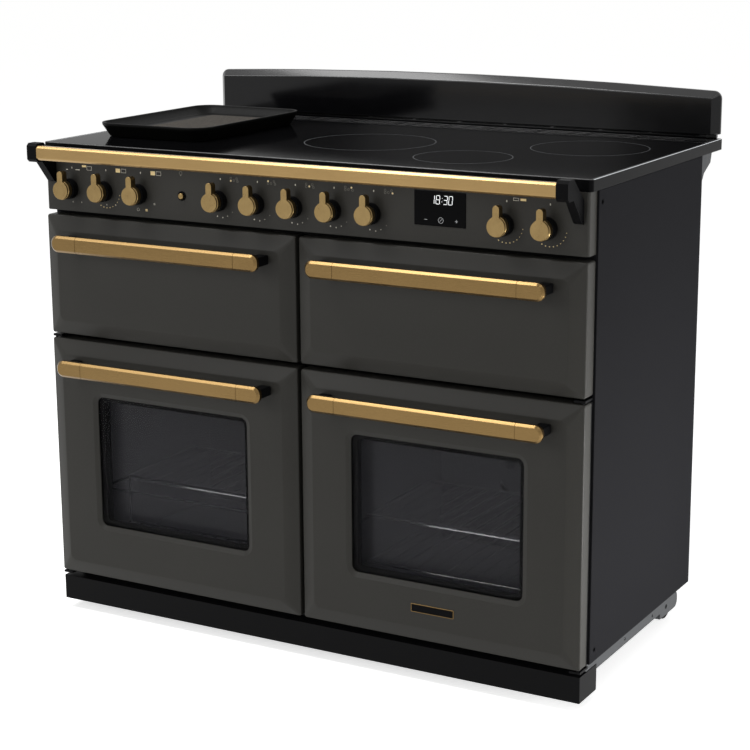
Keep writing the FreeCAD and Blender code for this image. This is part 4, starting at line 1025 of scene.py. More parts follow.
@dataclass
class Fronts(SubAssembly):
    """Oven doors and drawer fronts with their windows and handles.

    Args:
        nodes: The model's objects by name.
        pressing: Profile of the pressed fronts.
        handle: Shape of the handles.
        window_corner: Corner radius of the windows.
        lip: Width of the rolled lip round a window.
        lip_depth: How far the lip sinks.
        lip_steps: Facets of the lip.
        reveal: Depth of the window's edge behind the field.
        lap: How far the panes reach behind the sheet.
        pane: Thickness of the outer pane.
        pane_setback: Place of the outer pane behind the field.
        inner_pane: Thickness of the inner pane.
        print_width: Width of the black print round the outer pane.
        print_corner: Inner corner radius of that print.
        print_gap: Distance of that print from the pane.
        print_depth: Thickness of that print.
    """

    pressing: Pressing = field(default_factory=Pressing)
    handle: HandleBar = field(default_factory=HandleBar)
    window_corner: float = 13.0
    lip: float = 9.0
    lip_depth: float = 4.0
    lip_steps: int = 5
    reveal: float = 6.0
    lap: float = 10.0
    pane: float = 3.8
    pane_setback: float = 6.2
    inner_pane: float = 3.0
    print_width: float = 9.0
    print_corner: float = 9.0
    print_gap: float = 0.1
    print_depth: float = 0.4

    def build(self) -> None:
        """Make the four fronts."""
        for side in SIDES:
            self.door(f"oven_door_{side}")
        for drawer in ("grill_drawer", "storage_drawer"):
            self.drawer_front(drawer)

    def door(self, body: str) -> None:
        """Make one oven door.

        Args:
            body: The door's body.
        """
        outer = Box.of_node(f"{body}_skin")
        glass = Box.of_node(f"{body}_glass")
        front = outer.y.low
        window = Ring(glass.x.inset(self.lap), glass.z.inset(self.lap), front, self.window_corner)
        rings = self.pressing.rings(outer)
        for step in range(self.lip_steps + 1):
            turn = step / self.lip_steps * math.pi / 2
            reach = self.lip * math.cos(turn)
            rings.append(window.inset(-reach, front + self.lip_depth * (1 - math.cos(turn)),
                                      self.window_corner + reach))
        rings.append(window.inset(0, front + self.reveal, self.window_corner))
        skin = Workpiece.loft(f"{body}_pressing", Axis.Y, rings, capped=False)
        skin.modify("SOLIDIFY", thickness=self.pressing.sheet * MM, offset=-1)
        dress(skin.smoothed(35), SLATE, body, [f"{body}_skin"])
        self.panes(body, glass, front)
        self.softened(f"{body}_liner", BLACK_ENAMEL, 1.0, body)
        self.grip(body)

    def panes(self, body: str, glass: Box, front: float) -> None:
        """Make the outer pane with its black print, and the inner pane.

        Args:
            body: The door's body.
            glass: Extent of both panes.
            front: Front of the door's field on Y.
        """
        outer_y = Span(front + self.pane_setback, front + self.pane_setback + self.pane)
        inner_y = Span(glass.y.high - self.inner_pane, glass.y.high)
        # The inner pane's grey haze is painted light standing in for the dim glow inside the oven.
        for label, y, finish, node in (("outer", outer_y, WINDOW, [f"{body}_glass"]),
                                       ("inner", inner_y, INNER_GLASS_PAINTED_LIGHT, [])):
            ring = Ring(glass.x, glass.z, y.low, self.window_corner)
            pane = Workpiece.prism(f"{body}_pane_{label}", Axis.Y, ring, y.high)
            dress(pane.smoothed(), finish, body, node)
        print_start = outer_y.high + self.print_gap
        print_y = Span(print_start, print_start + self.print_depth)
        edge = Ring(glass.x, glass.z, print_y.low, self.window_corner)
        hole = edge.inset(self.lap + self.print_width, print_y.low, self.print_corner)
        stations = [hole, edge, edge.inset(0, print_y.high, self.window_corner),
                    hole.inset(0, print_y.high, self.print_corner), hole]
        border = Workpiece.loft(f"{body}_glass_print", Axis.Y, stations, capped=False)
        dress(border.smoothed(), PLASTIC, body)

    def drawer_front(self, drawer: str) -> None:
        """Make one drawer front.

        Args:
            drawer: Name of the drawer's body.
        """
        node = f"{drawer}_front"
        rings = self.pressing.rings(Box.of_node(node))
        front = Workpiece.loft(f"{node}_pressing", Axis.Y, rings)
        dress(front.smoothed(35), SLATE, drawer, [node])
        self.grip(drawer)

    def grip(self, body: str) -> None:
        """Make the handle of a door or drawer: a brass bar on black posts.

        Args:
            body: The body that carries the handle.
        """
        node = f"{body}_handle"
        dress(self.handle.made(node), BRASS, body, [node])
        dress(self.handle.posts(node), PLASTIC, body)


class Ink(Enum):
    """Inks of the fascia's marks, each with the name of its piece."""

    GOLD = ("panel_gold_marks", GOLD_PRINT)
    PALE = ("panel_pale_marks", PALE_PRINT)
    FAINT = ("panel_icons", FAINT_PRINT)


class Shape(Enum):
    """Shapes of a printed mark."""

    BAR = "filled rectangle"
    OUTLINE = "open rectangle"
    CIRCLE = "thin circle"
    DOT = "filled circle"


@dataclass(frozen=True)
class Mark:
    """One printed mark, placed from the middle of a knob or the button.

    Args:
        ink: Its ink.
        shape: Its shape.
        x: Distance to the right.
        z: Distance upwards.
        size: Width of a rectangle or radius of a circle.
        height: Height of a rectangle.
    """

    ink: Ink
    shape: Shape
    x: float
    z: float
    size: float
    height: float = 0.0


ZERO_TICK = Mark(Ink.PALE, Shape.BAR, 4.5, 38.5, 1.7, 3.2)
LEFT_OVEN = Mark(Ink.GOLD, Shape.BAR, 31.5, 39.5, 9.6, 7.2)
RIGHT_OVEN = Mark(Ink.PALE, Shape.OUTLINE, 44, 39.5, 11, 7.2)
SCALE_ENDS = (Mark(Ink.PALE, Shape.BAR, 4, -24.5, 1.2, 2.4), Mark(Ink.PALE, Shape.BAR, 24, -24, 1.2, 2.4))
KNOB_MARKS: dict[int, tuple[Mark, ...]] = {
    1: (Mark(Ink.GOLD, Shape.BAR, 32.5, 42.8, 9.6, 3.6), Mark(Ink.PALE, Shape.BAR, 17.5, 35.4, 9.5, 1.5),
        Mark(Ink.PALE, Shape.BAR, -7, 34.6, 4.5, 1.6), RIGHT_OVEN, *SCALE_ENDS),
    2: (LEFT_OVEN, RIGHT_OVEN, *SCALE_ENDS),
    3: (LEFT_OVEN, RIGHT_OVEN, Mark(Ink.PALE, Shape.CIRCLE, -3.2, -28, 2.6),
        Mark(Ink.GOLD, Shape.BAR, 15.2, -29.2, 4.6, 1.5), Mark(Ink.GOLD, Shape.BAR, 15.2, -26.9, 4.6, 1.5),
        Mark(Ink.PALE, Shape.OUTLINE, 33, -16, 3.2, 3.2)),
    9: (Mark(Ink.PALE, Shape.OUTLINE, 21, 42.5, 10, 4.6), Mark(Ink.GOLD, Shape.BAR, 34, 42.5, 10, 3.8)),
}
POWER_DOTS = (Mark(Ink.PALE, Shape.DOT, -3.3, -27.7, 1.3), Mark(Ink.PALE, Shape.DOT, 7.9, -29.3, 1.1),
              Mark(Ink.PALE, Shape.DOT, 18, -26.1, 0.9), Mark(Ink.FAINT, Shape.DOT, 28.6, -18.3, 0.9))
LAMP_ICON = (Mark(Ink.FAINT, Shape.CIRCLE, -1.5, 43.6, 3), Mark(Ink.FAINT, Shape.BAR, -1.5, 39.2, 2.6, 1.4))


@dataclass
class ScreenPrint:
    """The marks printed on the fascia.

    Args:
        face: Front of the fascia on Y.
        film: Thickness of the ink.
        sink: How far the ink reaches into the fascia.
        line: Width of a drawn line.
        parts: The marks of each ink so far.
    """

    face: float
    film: float = 0.08
    sink: float = 0.2
    line: float = 0.6
    parts: dict[Ink, list[Workpiece]] = field(default_factory=lambda: {ink: [] for ink in Ink})

    @property
    def depth(self) -> Span:
        """Extent of the ink on Y."""
        return Span(self.face - self.film, self.face + self.sink)

    def add(self, marks: Iterable[Mark], x: float, z: float) -> None:
        """Print some marks.

        Args:
            marks: The marks.
            x: Place on X from which they are placed.
            z: Place on Z from which they are placed.
        """
        for mark in marks:
            self.parts[mark.ink].extend(self.printed(mark, x + mark.x, z + mark.z))

    def printed(self, mark: Mark, x: float, z: float) -> Iterator[Workpiece]:
        """Make one mark.

        Args:
            mark: The mark.
            x: Its middle on X.
            z: Its middle on Z.

        Yields:
            The lines or the area of which it consists.
        """
        if mark.shape is Shape.DOT:
            yield Workpiece.rod("dot", Axis.Y, (x, z), mark.size, self.depth, 12)
        elif mark.shape is Shape.CIRCLE:
            middle = (x, z, self.face + self.sink / 2)
            yield Workpiece.hoop("circle", Axis.Y, middle, mark.size, self.line / 2, 20)
        elif mark.shape is Shape.BAR:
            yield self.bar(x, z, mark.size, mark.height)
        else:
            for side in SIDES.values():
                yield self.bar(x + side * (mark.size - self.line) / 2, z, self.line, mark.height)
                yield self.bar(x, z + side * (mark.height - self.line) / 2, mark.size, self.line)

    def bar(self, x: float, z: float, width: float, height: float) -> Workpiece:
        """Make a filled rectangle."""
        return Workpiece.block("bar", Box(Span.about(x, width), self.depth, Span.about(z, height)))

    def finished(self) -> None:
        """Join the marks of each ink to one piece."""
        for ink, parts in self.parts.items():
            name, finish = ink.value
            dress(Workpiece.gathered(name, parts), finish)


@dataclass
class ControlPanel(SubAssembly):
    """Fascia with its knobs, button, clock and printed marks.

    Args:
        nodes: The model's objects by name.
        end_turn: Radius with which the fascia turns back at its ends.
        knob_count: Number of knobs.
        cap_radius: Radius of a knob's brass barrel.
        cap_depth: Depth of the brass from front to back.
        cap_round: Rounding of the barrel's edge.
        disc_radius: Radius of the disc in front of the barrel.
        disc_depth: How far the disc stands out.
        disc_round: Rounding of the edges of the disc and of the tab.
        tab_width: Width of the knob's tab.
        tab_setback: How far the tab's front lies behind the disc's.
        tab_sink: How far the tab's back lies in front of the barrel's.
        corner_play: What keeps a corner radius just below half a width.
        skirt_waist: Inset and place behind the barrel of the skirt's front stations.
        skirt_foot: Inset and place from its foot of the skirt's rear stations.
        dome_radius: Radius of the light button.
        dome_round: Rounding of its edge.
        bezel_radius: Radius of the ring round the light button.
        bezel_wire: Radius of that ring's section.
        frame: Width of the rim round the clock's glass.
        lit_film: How far lit marks stand in front of the glass.
        lit_sink: How far lit marks reach into the glass.
        digit_height: Height of a clock digit.
        digit_width: Width of a clock digit.
        digit_bar: Width of a lit segment.
        flat_cut: Segment widths by which a lying segment is shorter than a digit is wide.
        tall_cut: Segment widths by which an upright segment is shorter than half a digit.
        digit_lean: Slant of the digits.
        digit_head: Distance of the digits' foot from the top of the glass.
        digit_places: Start of each digit from the left edge of the glass.
        colon_place: Place of the colon from the left edge of the glass.
        colon_dot: Radius of the colon's dots.
        colon_rises: Places of the colon's dots as shares of a digit's height.
        key_rise: Height of the touch marks above the foot of the glass.
        key_places: Places of the minus, dial and plus marks from the left edge of the glass.
        key_line: Width of the lines of the minus and the plus.
        minus_width: Width of the minus.
        plus_width: Width of the plus.
        dial_radius: Radius of the dial.
        dial_wire: Half the width of the dial's line.
        hand_length: Length of the line across the dial.
        hand_line: Width of that line.
        hand_turn: Turn of that line in degrees.
        scale_radius: Radius of the dotted scales.
        scale_shift: Place of a scale's centre from the knob's middle.
        scale_knobs: Knobs that have a scale.
        scale_dots: Number of dots in a scale.
        scale_start: Direction of the first dot in degrees.
        scale_step: Turn from dot to dot in degrees.
        scale_dot: Radius of the first dot.
        scale_fade: How much smaller each dot is than the one before.
        zone_knobs: First and last of the knobs for the cooking zones.
        zone_icon: Places of the five zones in the picture by such a knob.
        zone_radius: Radius of a zone in that picture.
        lit_zone_radius: Radius of the filled zone in that picture.
    """

    end_turn: float = 5.0
    knob_count: int = 10
    cap_radius: float = 17.7
    cap_depth: float = 15.0
    cap_round: float = 2.4
    disc_radius: float = 16.4
    disc_depth: float = 3.0
    disc_round: float = 0.7
    tab_width: float = 12.0
    tab_setback: float = 0.02
    tab_sink: float = 1.0
    corner_play: float = 0.1
    skirt_waist: tuple[tuple[float, float], ...] = ((0.8, -0.4), (0.8, 1.2), (-0.6, 2.0))
    skirt_foot: tuple[tuple[float, float], ...] = ((-0.8, -1.0), (-0.2, 0.0))
    dome_radius: float = 5.6
    dome_round: float = 2.4
    bezel_radius: float = 7.4
    bezel_wire: float = 1.2
    frame: float = 4.0
    lit_film: float = 0.12
    lit_sink: float = 0.1
    digit_height: float = 14.0
    digit_width: float = 6.6
    digit_bar: float = 0.85
    flat_cut: float = 1.3
    tall_cut: float = 0.8
    digit_lean: float = 0.12
    digit_head: float = 21.0
    digit_places: tuple[float, ...] = (30.1, 40.0, 54.0, 63.5)
    colon_place: float = 51.0
    colon_dot: float = 0.55
    colon_rises: tuple[float, float] = (0.3, 0.7)
    key_rise: float = 10.0
    key_places: tuple[float, float, float] = (21.5, 49.5, 78.5)
    key_line: float = 0.6
    minus_width: float = 5.4
    plus_width: float = 5.0
    dial_radius: float = 4.6
    dial_wire: float = 0.26
    hand_length: float = 5.2
    hand_line: float = 0.5
    hand_turn: float = -48.0
    scale_radius: float = 29.5
    scale_shift: tuple[float, float] = (4.5, -0.5)
    scale_knobs: tuple[int, ...] = (2, 9, 10)
    scale_dots: int = 9
    scale_start: float = -118.0
    scale_step: float = 13.5
    scale_dot: float = 1.0
    scale_fade: float = 0.04
    zone_knobs: Span = Span(4, 8)
    zone_icon: tuple[tuple[float, float], ...] = (
        (26.5, 36.8), (26.5, 41.2), (32.5, 37.6), (38.5, 41.0), (40.5, 36.6))
    zone_radius: float = 1.8
    lit_zone_radius: float = 1.9

    def build(self) -> None:
        """Make the fascia and all that is on it."""
        self.fascia()
        self.knobs()
        self.button()
        self.clock()
        self.marks()
        self.painted("control_switches", PLASTIC)

    @property
    def face(self) -> float:
        """Front of the fascia on Y."""
        return Box.of_node("control_panel").y.low

    @property
    def knob_z(self) -> float:
        """Height of the knobs' middles."""
        return Box.of_node("control_switches").z.middle

    def fascia(self) -> None:
        """Make the fascia with its ends turned back."""
        piece = self.copied("control_panel")
        inside = Box.of_node("control_panel").x.inset(END)
        face = self.face
        piece.select_edges(lambda a, b: runs_along(Axis.Z, a, b) and abs(a.y - face) < TOUCH
                           and not inside.holds(a.x))
        piece.bevel_selected(self.end_turn, 5)
        piece.rounded(0.8, 2, 40).smoothed()
        dress(piece, SLATE, COOKER, ["control_panel"])

    def knob_centres(self) -> list[float]:
        """Places of the ten knobs on X."""
        return [Box.of_node(f"knob_{number}").x.middle for number in range(1, self.knob_count + 1)]

    def knobs(self) -> None:
        """Make one knob and copy it to the ten places."""
        first = Box.of_node("knob_1")
        waist = first.y.low + self.cap_depth
        centre = (first.x.middle, self.knob_z)
        barrel_y = Span(first.y.low + self.disc_depth, waist)
        disc_y = Span(first.y.low, barrel_y.low + self.disc_depth)
        cap = Workpiece.rod("cap", Axis.Y, centre, self.cap_radius, barrel_y, 72)
        disc = Workpiece.rod("disc", Axis.Y, centre, self.disc_radius, disc_y, 72)
        tab_end = self.tab_width / 2 - self.corner_play
        ring = Ring(Span.about(first.x.middle, self.tab_width), Span(self.knob_z, first.z.high),
                    first.y.low + self.tab_setback, tab_end)
        tab = Workpiece.prism("tab", Axis.Y, ring, waist - self.tab_sink)
        cap.rounded(self.cap_round, 4, 60)
        cap.joined([piece.rounded(self.disc_round, 3, 60) for piece in (disc, tab)]).smoothed(35)
        width = self.cap_radius * 2
        shell = Ring(Span.about(first.x.middle, width), Span.about(self.knob_z, width), waist,
                     self.cap_radius)
        profile = [(inset, waist + step) for inset, step in self.skirt_waist]
        profile += [(inset, first.y.high + step) for inset, step in self.skirt_foot]
        stations = [shell.inset(inset, y, shell.corner - inset - self.corner_play) for inset, y in profile]
        skirt = Workpiece.loft("skirt", Axis.Y, stations).smoothed(35)
        for number, place in enumerate(self.knob_centres(), start=1):
            step = Vector((place - first.x.middle, 0, 0))
            body = f"knob_{number}"
            dress(cap.copied(f"{body}_cap").moved(step), SATIN_BRASS, body, [body])
            dress(skirt.copied(f"{body}_skirt").moved(step), PLASTIC, body)
        bpy.data.objects.remove(cap.obj)
        bpy.data.objects.remove(skirt.obj)

    def button(self) -> None:
        """Make the light button: a brass dome in a black bezel."""
        box = Box.of_node("light_button")
        at = (box.x.middle, box.z.middle)
        dome = Workpiece.rod("light_button_dome", Axis.Y, at, self.dome_radius, box.y, 40)
        dome.rounded(self.dome_round, 5, 60).smoothed(50)
        dress(dome, SATIN_BRASS, "light_button", ["light_button"])
        middle = (*at, self.face - self.bezel_wire / 2)
        bezel = Workpiece.hoop("light_button_bezel", Axis.Y, middle, self.bezel_radius, self.bezel_wire, 48)
        dress(bezel.smoothed(60), PLASTIC)

    def clock(self) -> None:
        """Make the clock's glass, its lit digits and its touch marks."""
        box = Box.of_node("display")
        self.softened("display", DISPLAY_GLASS, 0.4)
        lit = Span(box.y.low - self.lit_film, box.y.low + self.lit_sink)
        glass = Box(box.x.inset(self.frame), lit, box.z.inset(self.frame))
        dress(Workpiece.gathered("clock_digits", self.digits(glass)), LIT)
        dress(Workpiece.gathered("clock_touch_marks", self.touch_marks(glass)), DIM_LIT)

    def digits(self, glass: Box) -> Iterator[Workpiece]:
        """Make the segments of the time of day.

        Args:
            glass: Extent of the glass, with the depth of the lit marks.

        Yields:
            Each lit segment and the colon's dots.
        """
        shapes = {"1": "bc", "8": "abcdefg", "3": "abcdg", "0": "abcdef"}
        bars = {
            "a": (0.5, 1.0, True), "g": (0.5, 0.5, True), "d": (0.5, 0.0, True),
            "f": (0.0, 0.75, False), "b": (1.0, 0.75, False),
            "e": (0.0, 0.25, False), "c": (1.0, 0.25, False),
        }
        low = glass.z.high - self.digit_head
        flat_bar = (self.digit_width - self.digit_bar * self.flat_cut, self.digit_bar)
        tall_bar = (self.digit_bar, self.digit_height / 2 - self.digit_bar * self.tall_cut)
        for digit, start in zip("1830", self.digit_places):
            for segment in shapes[digit]:
                across, up, flat = bars[segment]
                size = flat_bar if flat else tall_bar
                rise = up * self.digit_height
                x = glass.x.low + start + across * self.digit_width + rise * self.digit_lean
                yield Workpiece.block(f"segment_{segment}", Box(Span.about(x, size[0]), glass.y,
                                                                Span.about(low + rise, size[1])))
        for up in self.colon_rises:
            rise = up * self.digit_height
            x = glass.x.low + self.colon_place + rise * self.digit_lean
            yield Workpiece.rod("colon", Axis.Y, (x, low + rise), self.colon_dot, glass.y, 12)

    def touch_marks(self, glass: Box) -> Iterator[Workpiece]:
        """Make the minus, the dial and the plus under the digits.

        Args:
            glass: Extent of the glass, with the depth of the lit marks.

        Yields:
            Each mark.
        """
        z = glass.z.low + self.key_rise
        minus, dial, plus = (glass.x.low + place for place in self.key_places)
        for x, width, height in ((minus, self.minus_width, self.key_line),
                                 (plus, self.plus_width, self.key_line),
                                 (plus, self.key_line, self.plus_width)):
            yield Workpiece.block("key", Box(Span.about(x, width), glass.y, Span.about(z, height)))
        yield Workpiece.hoop("dial", Axis.Y, (dial, z, glass.y.middle), self.dial_radius, self.dial_wire, 32)
        across = Box(Span.about(dial, self.hand_length), glass.y, Span.about(z, self.hand_line))
        hand = Workpiece.block("hand", across)
        yield hand.turned(Axis.Y, self.hand_turn, Vector((dial, glass.y.middle, z)))

    def marks(self) -> None:
        """Print the marks round the knobs and over the button."""
        fascia = ScreenPrint(self.face)
        for number, x in enumerate(self.knob_centres(), start=1):
            fascia.add([ZERO_TICK, *KNOB_MARKS.get(number, ())], x, self.knob_z)
            if self.zone_knobs.holds(number):
                fascia.add(self.zone_marks(number - int(self.zone_knobs.low)), x, self.knob_z)
            if number in self.scale_knobs:
                fascia.add(self.scale(), x, self.knob_z)
        fascia.add(LAMP_ICON, Box.of_node("light_button").x.middle, self.knob_z)
        fascia.finished()

    def zone_marks(self, place: int) -> Iterator[Mark]:
        """Draw the picture of the five cooking zones with one of them filled, and the power dots.

        Args:
            place: Number of the knob's zone from the left.

        Yields:
            Each mark.
        """
        for across, up in self.zone_icon:
            yield Mark(Ink.FAINT, Shape.CIRCLE, across, up, self.zone_radius)
        yield Mark(Ink.GOLD, Shape.DOT, *self.zone_icon[place], self.lit_zone_radius)
        yield from POWER_DOTS

    def scale(self) -> Iterator[Mark]:
        """Draw the dotted scale under a knob.

        Yields:
            Each dot.
        """
        for step in range(self.scale_dots):
            turn = math.radians(self.scale_start + step * self.scale_step)
            yield Mark(Ink.GOLD, Shape.DOT, self.scale_shift[0] + self.scale_radius * math.cos(turn),
                       self.scale_shift[1] + self.scale_radius * math.sin(turn),
                       self.scale_dot - step * self.scale_fade)


@dataclass
class Hob(SubAssembly):
    """Hob with its glass, vent, upstand, handrail and griddle.

    Args:
        nodes: The model's objects by name.
        frame_round: Rounding of the hob frame's edges.
        frame_corner: Radius of the hob frame's front corners.
        zones: Middle on X and Y and radius of each printed ring.
        ring_wire: Half the width of a printed ring.
        ring_press: Share of its thickness to which a printed ring is pressed flat.
        upstand_round: Rounding of the upstand's edges.
        foot_inset: Distance of a foot's middle from the end of the upstand.
        foot_width: Width of such a foot.
        foot_depth: Distance of such a foot's front from the upstand's back.
        foot_height: Height of such a foot's top above the upstand's lower edge.
        foot_gap: Height of its underside above that edge.
        foot_setback: Distance of its back from the upstand's back.
        foot_round: Rounding of such a foot's edges.
        leg_start: Distance below the rail from which a bracket counts as its leg.
        leg_round: Rounding of the foot of the rail's brackets.
        griddle_corner: Corner radius of the griddle.
        griddle_taper: How far its walls lean in.
        griddle_wall: Thickness of its walls.
        griddle_floor: Height of its floor.
        griddle_lip: Height of its upright rim.
        ribs: Number of ribs on its floor.
        rib_pitch: Distance from rib to rib.
        rib_height: Height of a rib.
        rib_root: How far a rib reaches into the floor.
        rib_round: Rounding of a rib's edges.
        rib_ends: Distance of the ribs from the griddle's left and right edge.
        rib_shift: How far the ribs lie behind the griddle's middle.
    """

    frame_round: float = 1.8
    frame_corner: float = 7.0
    zones: tuple[tuple[float, float, float], ...] = (
        (-5.5, -2.2, 120.0), (239.8, -113.0, 85.5), (386.5, 94.1, 105.0))
    ring_wire: float = 0.55
    ring_press: float = 0.15
    upstand_round: float = 1.6
    foot_inset: float = 16.0
    foot_width: float = 20.0
    foot_depth: float = 10.0
    foot_height: float = 9.5
    foot_gap: float = 0.1
    foot_setback: float = 0.5
    foot_round: float = 1.5
    leg_start: float = 8.0
    leg_round: float = 6.0
    griddle_corner: float = 38.0
    griddle_taper: float = 14.0
    griddle_wall: float = 5.0
    griddle_floor: float = 10.0
    griddle_lip: float = 6.5
    ribs: int = 30
    rib_pitch: float = 8.6
    rib_height: float = 2.6
    rib_root: float = 1.0
    rib_round: float = 1.5
    rib_ends: tuple[float, float] = (52.0, 26.0)
    rib_shift: float = 8.0

    def build(self) -> None:
        """Make the pieces from the glass upwards."""
        self.hob_frame()
        self.glass()
        self.softened("vent_grille", VENT_ENAMEL_AND_EDGE_HIGHLIGHT, 0.8)
        upstand = self.softened("upstand", GLOSS_ENAMEL, self.upstand_round, steps=3)
        # Its upward-leaning rounded edges get the lighter, shinier enamel: a painted highlight along its top.
        paint_edge_highlight(upstand, VENT_ENAMEL_AND_EDGE_HIGHLIGHT, lambda way: way.z > 0.4)
        self.upstand_feet()
        self.softened("handrail", RAIL_BRASS, 0.7)
        self.brackets()
        self.griddle()
        self.painted("induction_coils", COIL)

    def hob_frame(self) -> None:
        """Make the hob frame with rounded front corners."""
        piece = self.copied("hob_frame")
        box = Box.of_node("hob_frame")
        piece.select_edges(lambda a, b: runs_along(Axis.Z, a, b) and abs(a.y - box.y.low) < TOUCH
                           and abs(a.x) > box.x.high - END)
        piece.bevel_selected(self.frame_corner, 6)
        dress(piece.rounded(self.frame_round, 3).smoothed(), FRAME_ENAMEL, COOKER, ["hob_frame"])
        # The ends' upward-leaning rounded edges get pale metal: a painted highlight line.
        paint_edge_highlight(piece, PAINTED_END_HIGHLIGHT, lambda way: way.z > LEANING and abs(way.x) > 0.3 and abs(way.y) < LEANING)
        # The front's upward-leaning rounded edges get the lighter, shinier enamel: a painted highlight line.
        paint_edge_highlight(piece, VENT_ENAMEL_AND_EDGE_HIGHLIGHT, lambda way: way.z > LEANING and way.y < -LEANING)

    def upstand_feet(self) -> None:
        """Make the two feet on which the ends of the upstand stand."""
        box = Box.of_node("upstand")
        feet = []
        for side in SIDES.values():
            x = Span.about((box.x.high - self.foot_inset) * side, self.foot_width)
            y = Span(box.y.high - self.foot_depth, box.y.high - self.foot_setback)
            z = Span(box.z.low + self.foot_gap, box.z.low + self.foot_height)
            feet.append(Workpiece.block("foot", Box(x, y, z)).rounded(self.foot_round))
        dress(Workpiece.gathered("upstand_feet", feet).smoothed(), GLOSS_ENAMEL)

    def glass(self) -> None:
        """Make the ceramic glass and its fired rings."""
        self.softened("hob_glass", CERAMIC, 0.5)
        top = Box.of_node("hob_glass").z.high
        rings = [Workpiece.hoop("ring", Axis.Z, (x, y, top), radius, self.ring_wire, 128)
                 for x, y, radius in self.zones]
        dress(Workpiece.gathered("hob_zone_rings", rings).flattened(top, self.ring_press), RING_PRINT)

    def brackets(self) -> None:
        """Make the rail's brackets with a rounded foot."""
        piece = self.copied("handrail_brackets")
        box = Box.of_node("handrail_brackets")
        leg_top = Box.of_node("handrail").z.low - self.leg_start
        piece.select_edges(lambda a, b: runs_along(Axis.X, a, b) and a.z < leg_top
                           and a.y < box.y.high - END)
        piece.bevel_selected(self.leg_round, 5)
        dress(piece.rounded(1.6, 3).smoothed(), PLASTIC, COOKER, ["handrail_brackets"])

    def griddle(self) -> None:
        """Make the cast griddle: rounded pan with a rolled rim and a ribbed floor."""
        box = Box.of_node("griddle_pan")
        base, rim = box.z.low, box.z.high
        floor, lip = base + self.griddle_floor, rim - self.griddle_lip
        wall, taper, corner = self.griddle_wall, self.griddle_taper, self.griddle_corner
        ring = Ring(box.x, box.y, base, corner)
        outside = ((taper, base + 1.5), (1.4, lip), (0.4, lip + 1.5))
        rolled_rim = ((0, rim - 1.2), (0.5, rim - 0.3), (1.5, rim), (wall - 1, rim - 0.4), (wall, rim - 1.5))
        inside = ((wall + 1, lip), (taper + wall - 3, floor + 3), (taper + wall + 1, floor))
        stations = [ring.inset(taper + 2, base, corner - taper)]
        stations += [ring.inset(inset, z, corner - inset) for inset, z in outside + rolled_rim + inside]
        pan = Workpiece.loft("griddle_casting", Axis.Z, stations).smoothed(50)
        dress(pan, GRIDDLE, "griddle", ["griddle_pan"])
        rib_x = Span(box.x.low + self.rib_ends[0], box.x.high - self.rib_ends[1])
        rib_z = Span(floor - self.rib_root, floor + self.rib_height)
        ribs = []
        for number in range(self.ribs):
            place = (number - (self.ribs - 1) / 2) * self.rib_pitch + self.rib_shift
            y = Span.about(box.y.middle + place, self.rib_pitch / 2)
            ribs.append(Workpiece.block("rib", Box(rib_x, y, rib_z)).rounded(self.rib_round, 2))
        # The ribs get the speckled grey of a painted sheen.
        dress(Workpiece.gathered("griddle_ribs", ribs).smoothed(), RIB_COAT_PAINTED_SHEEN, "griddle")


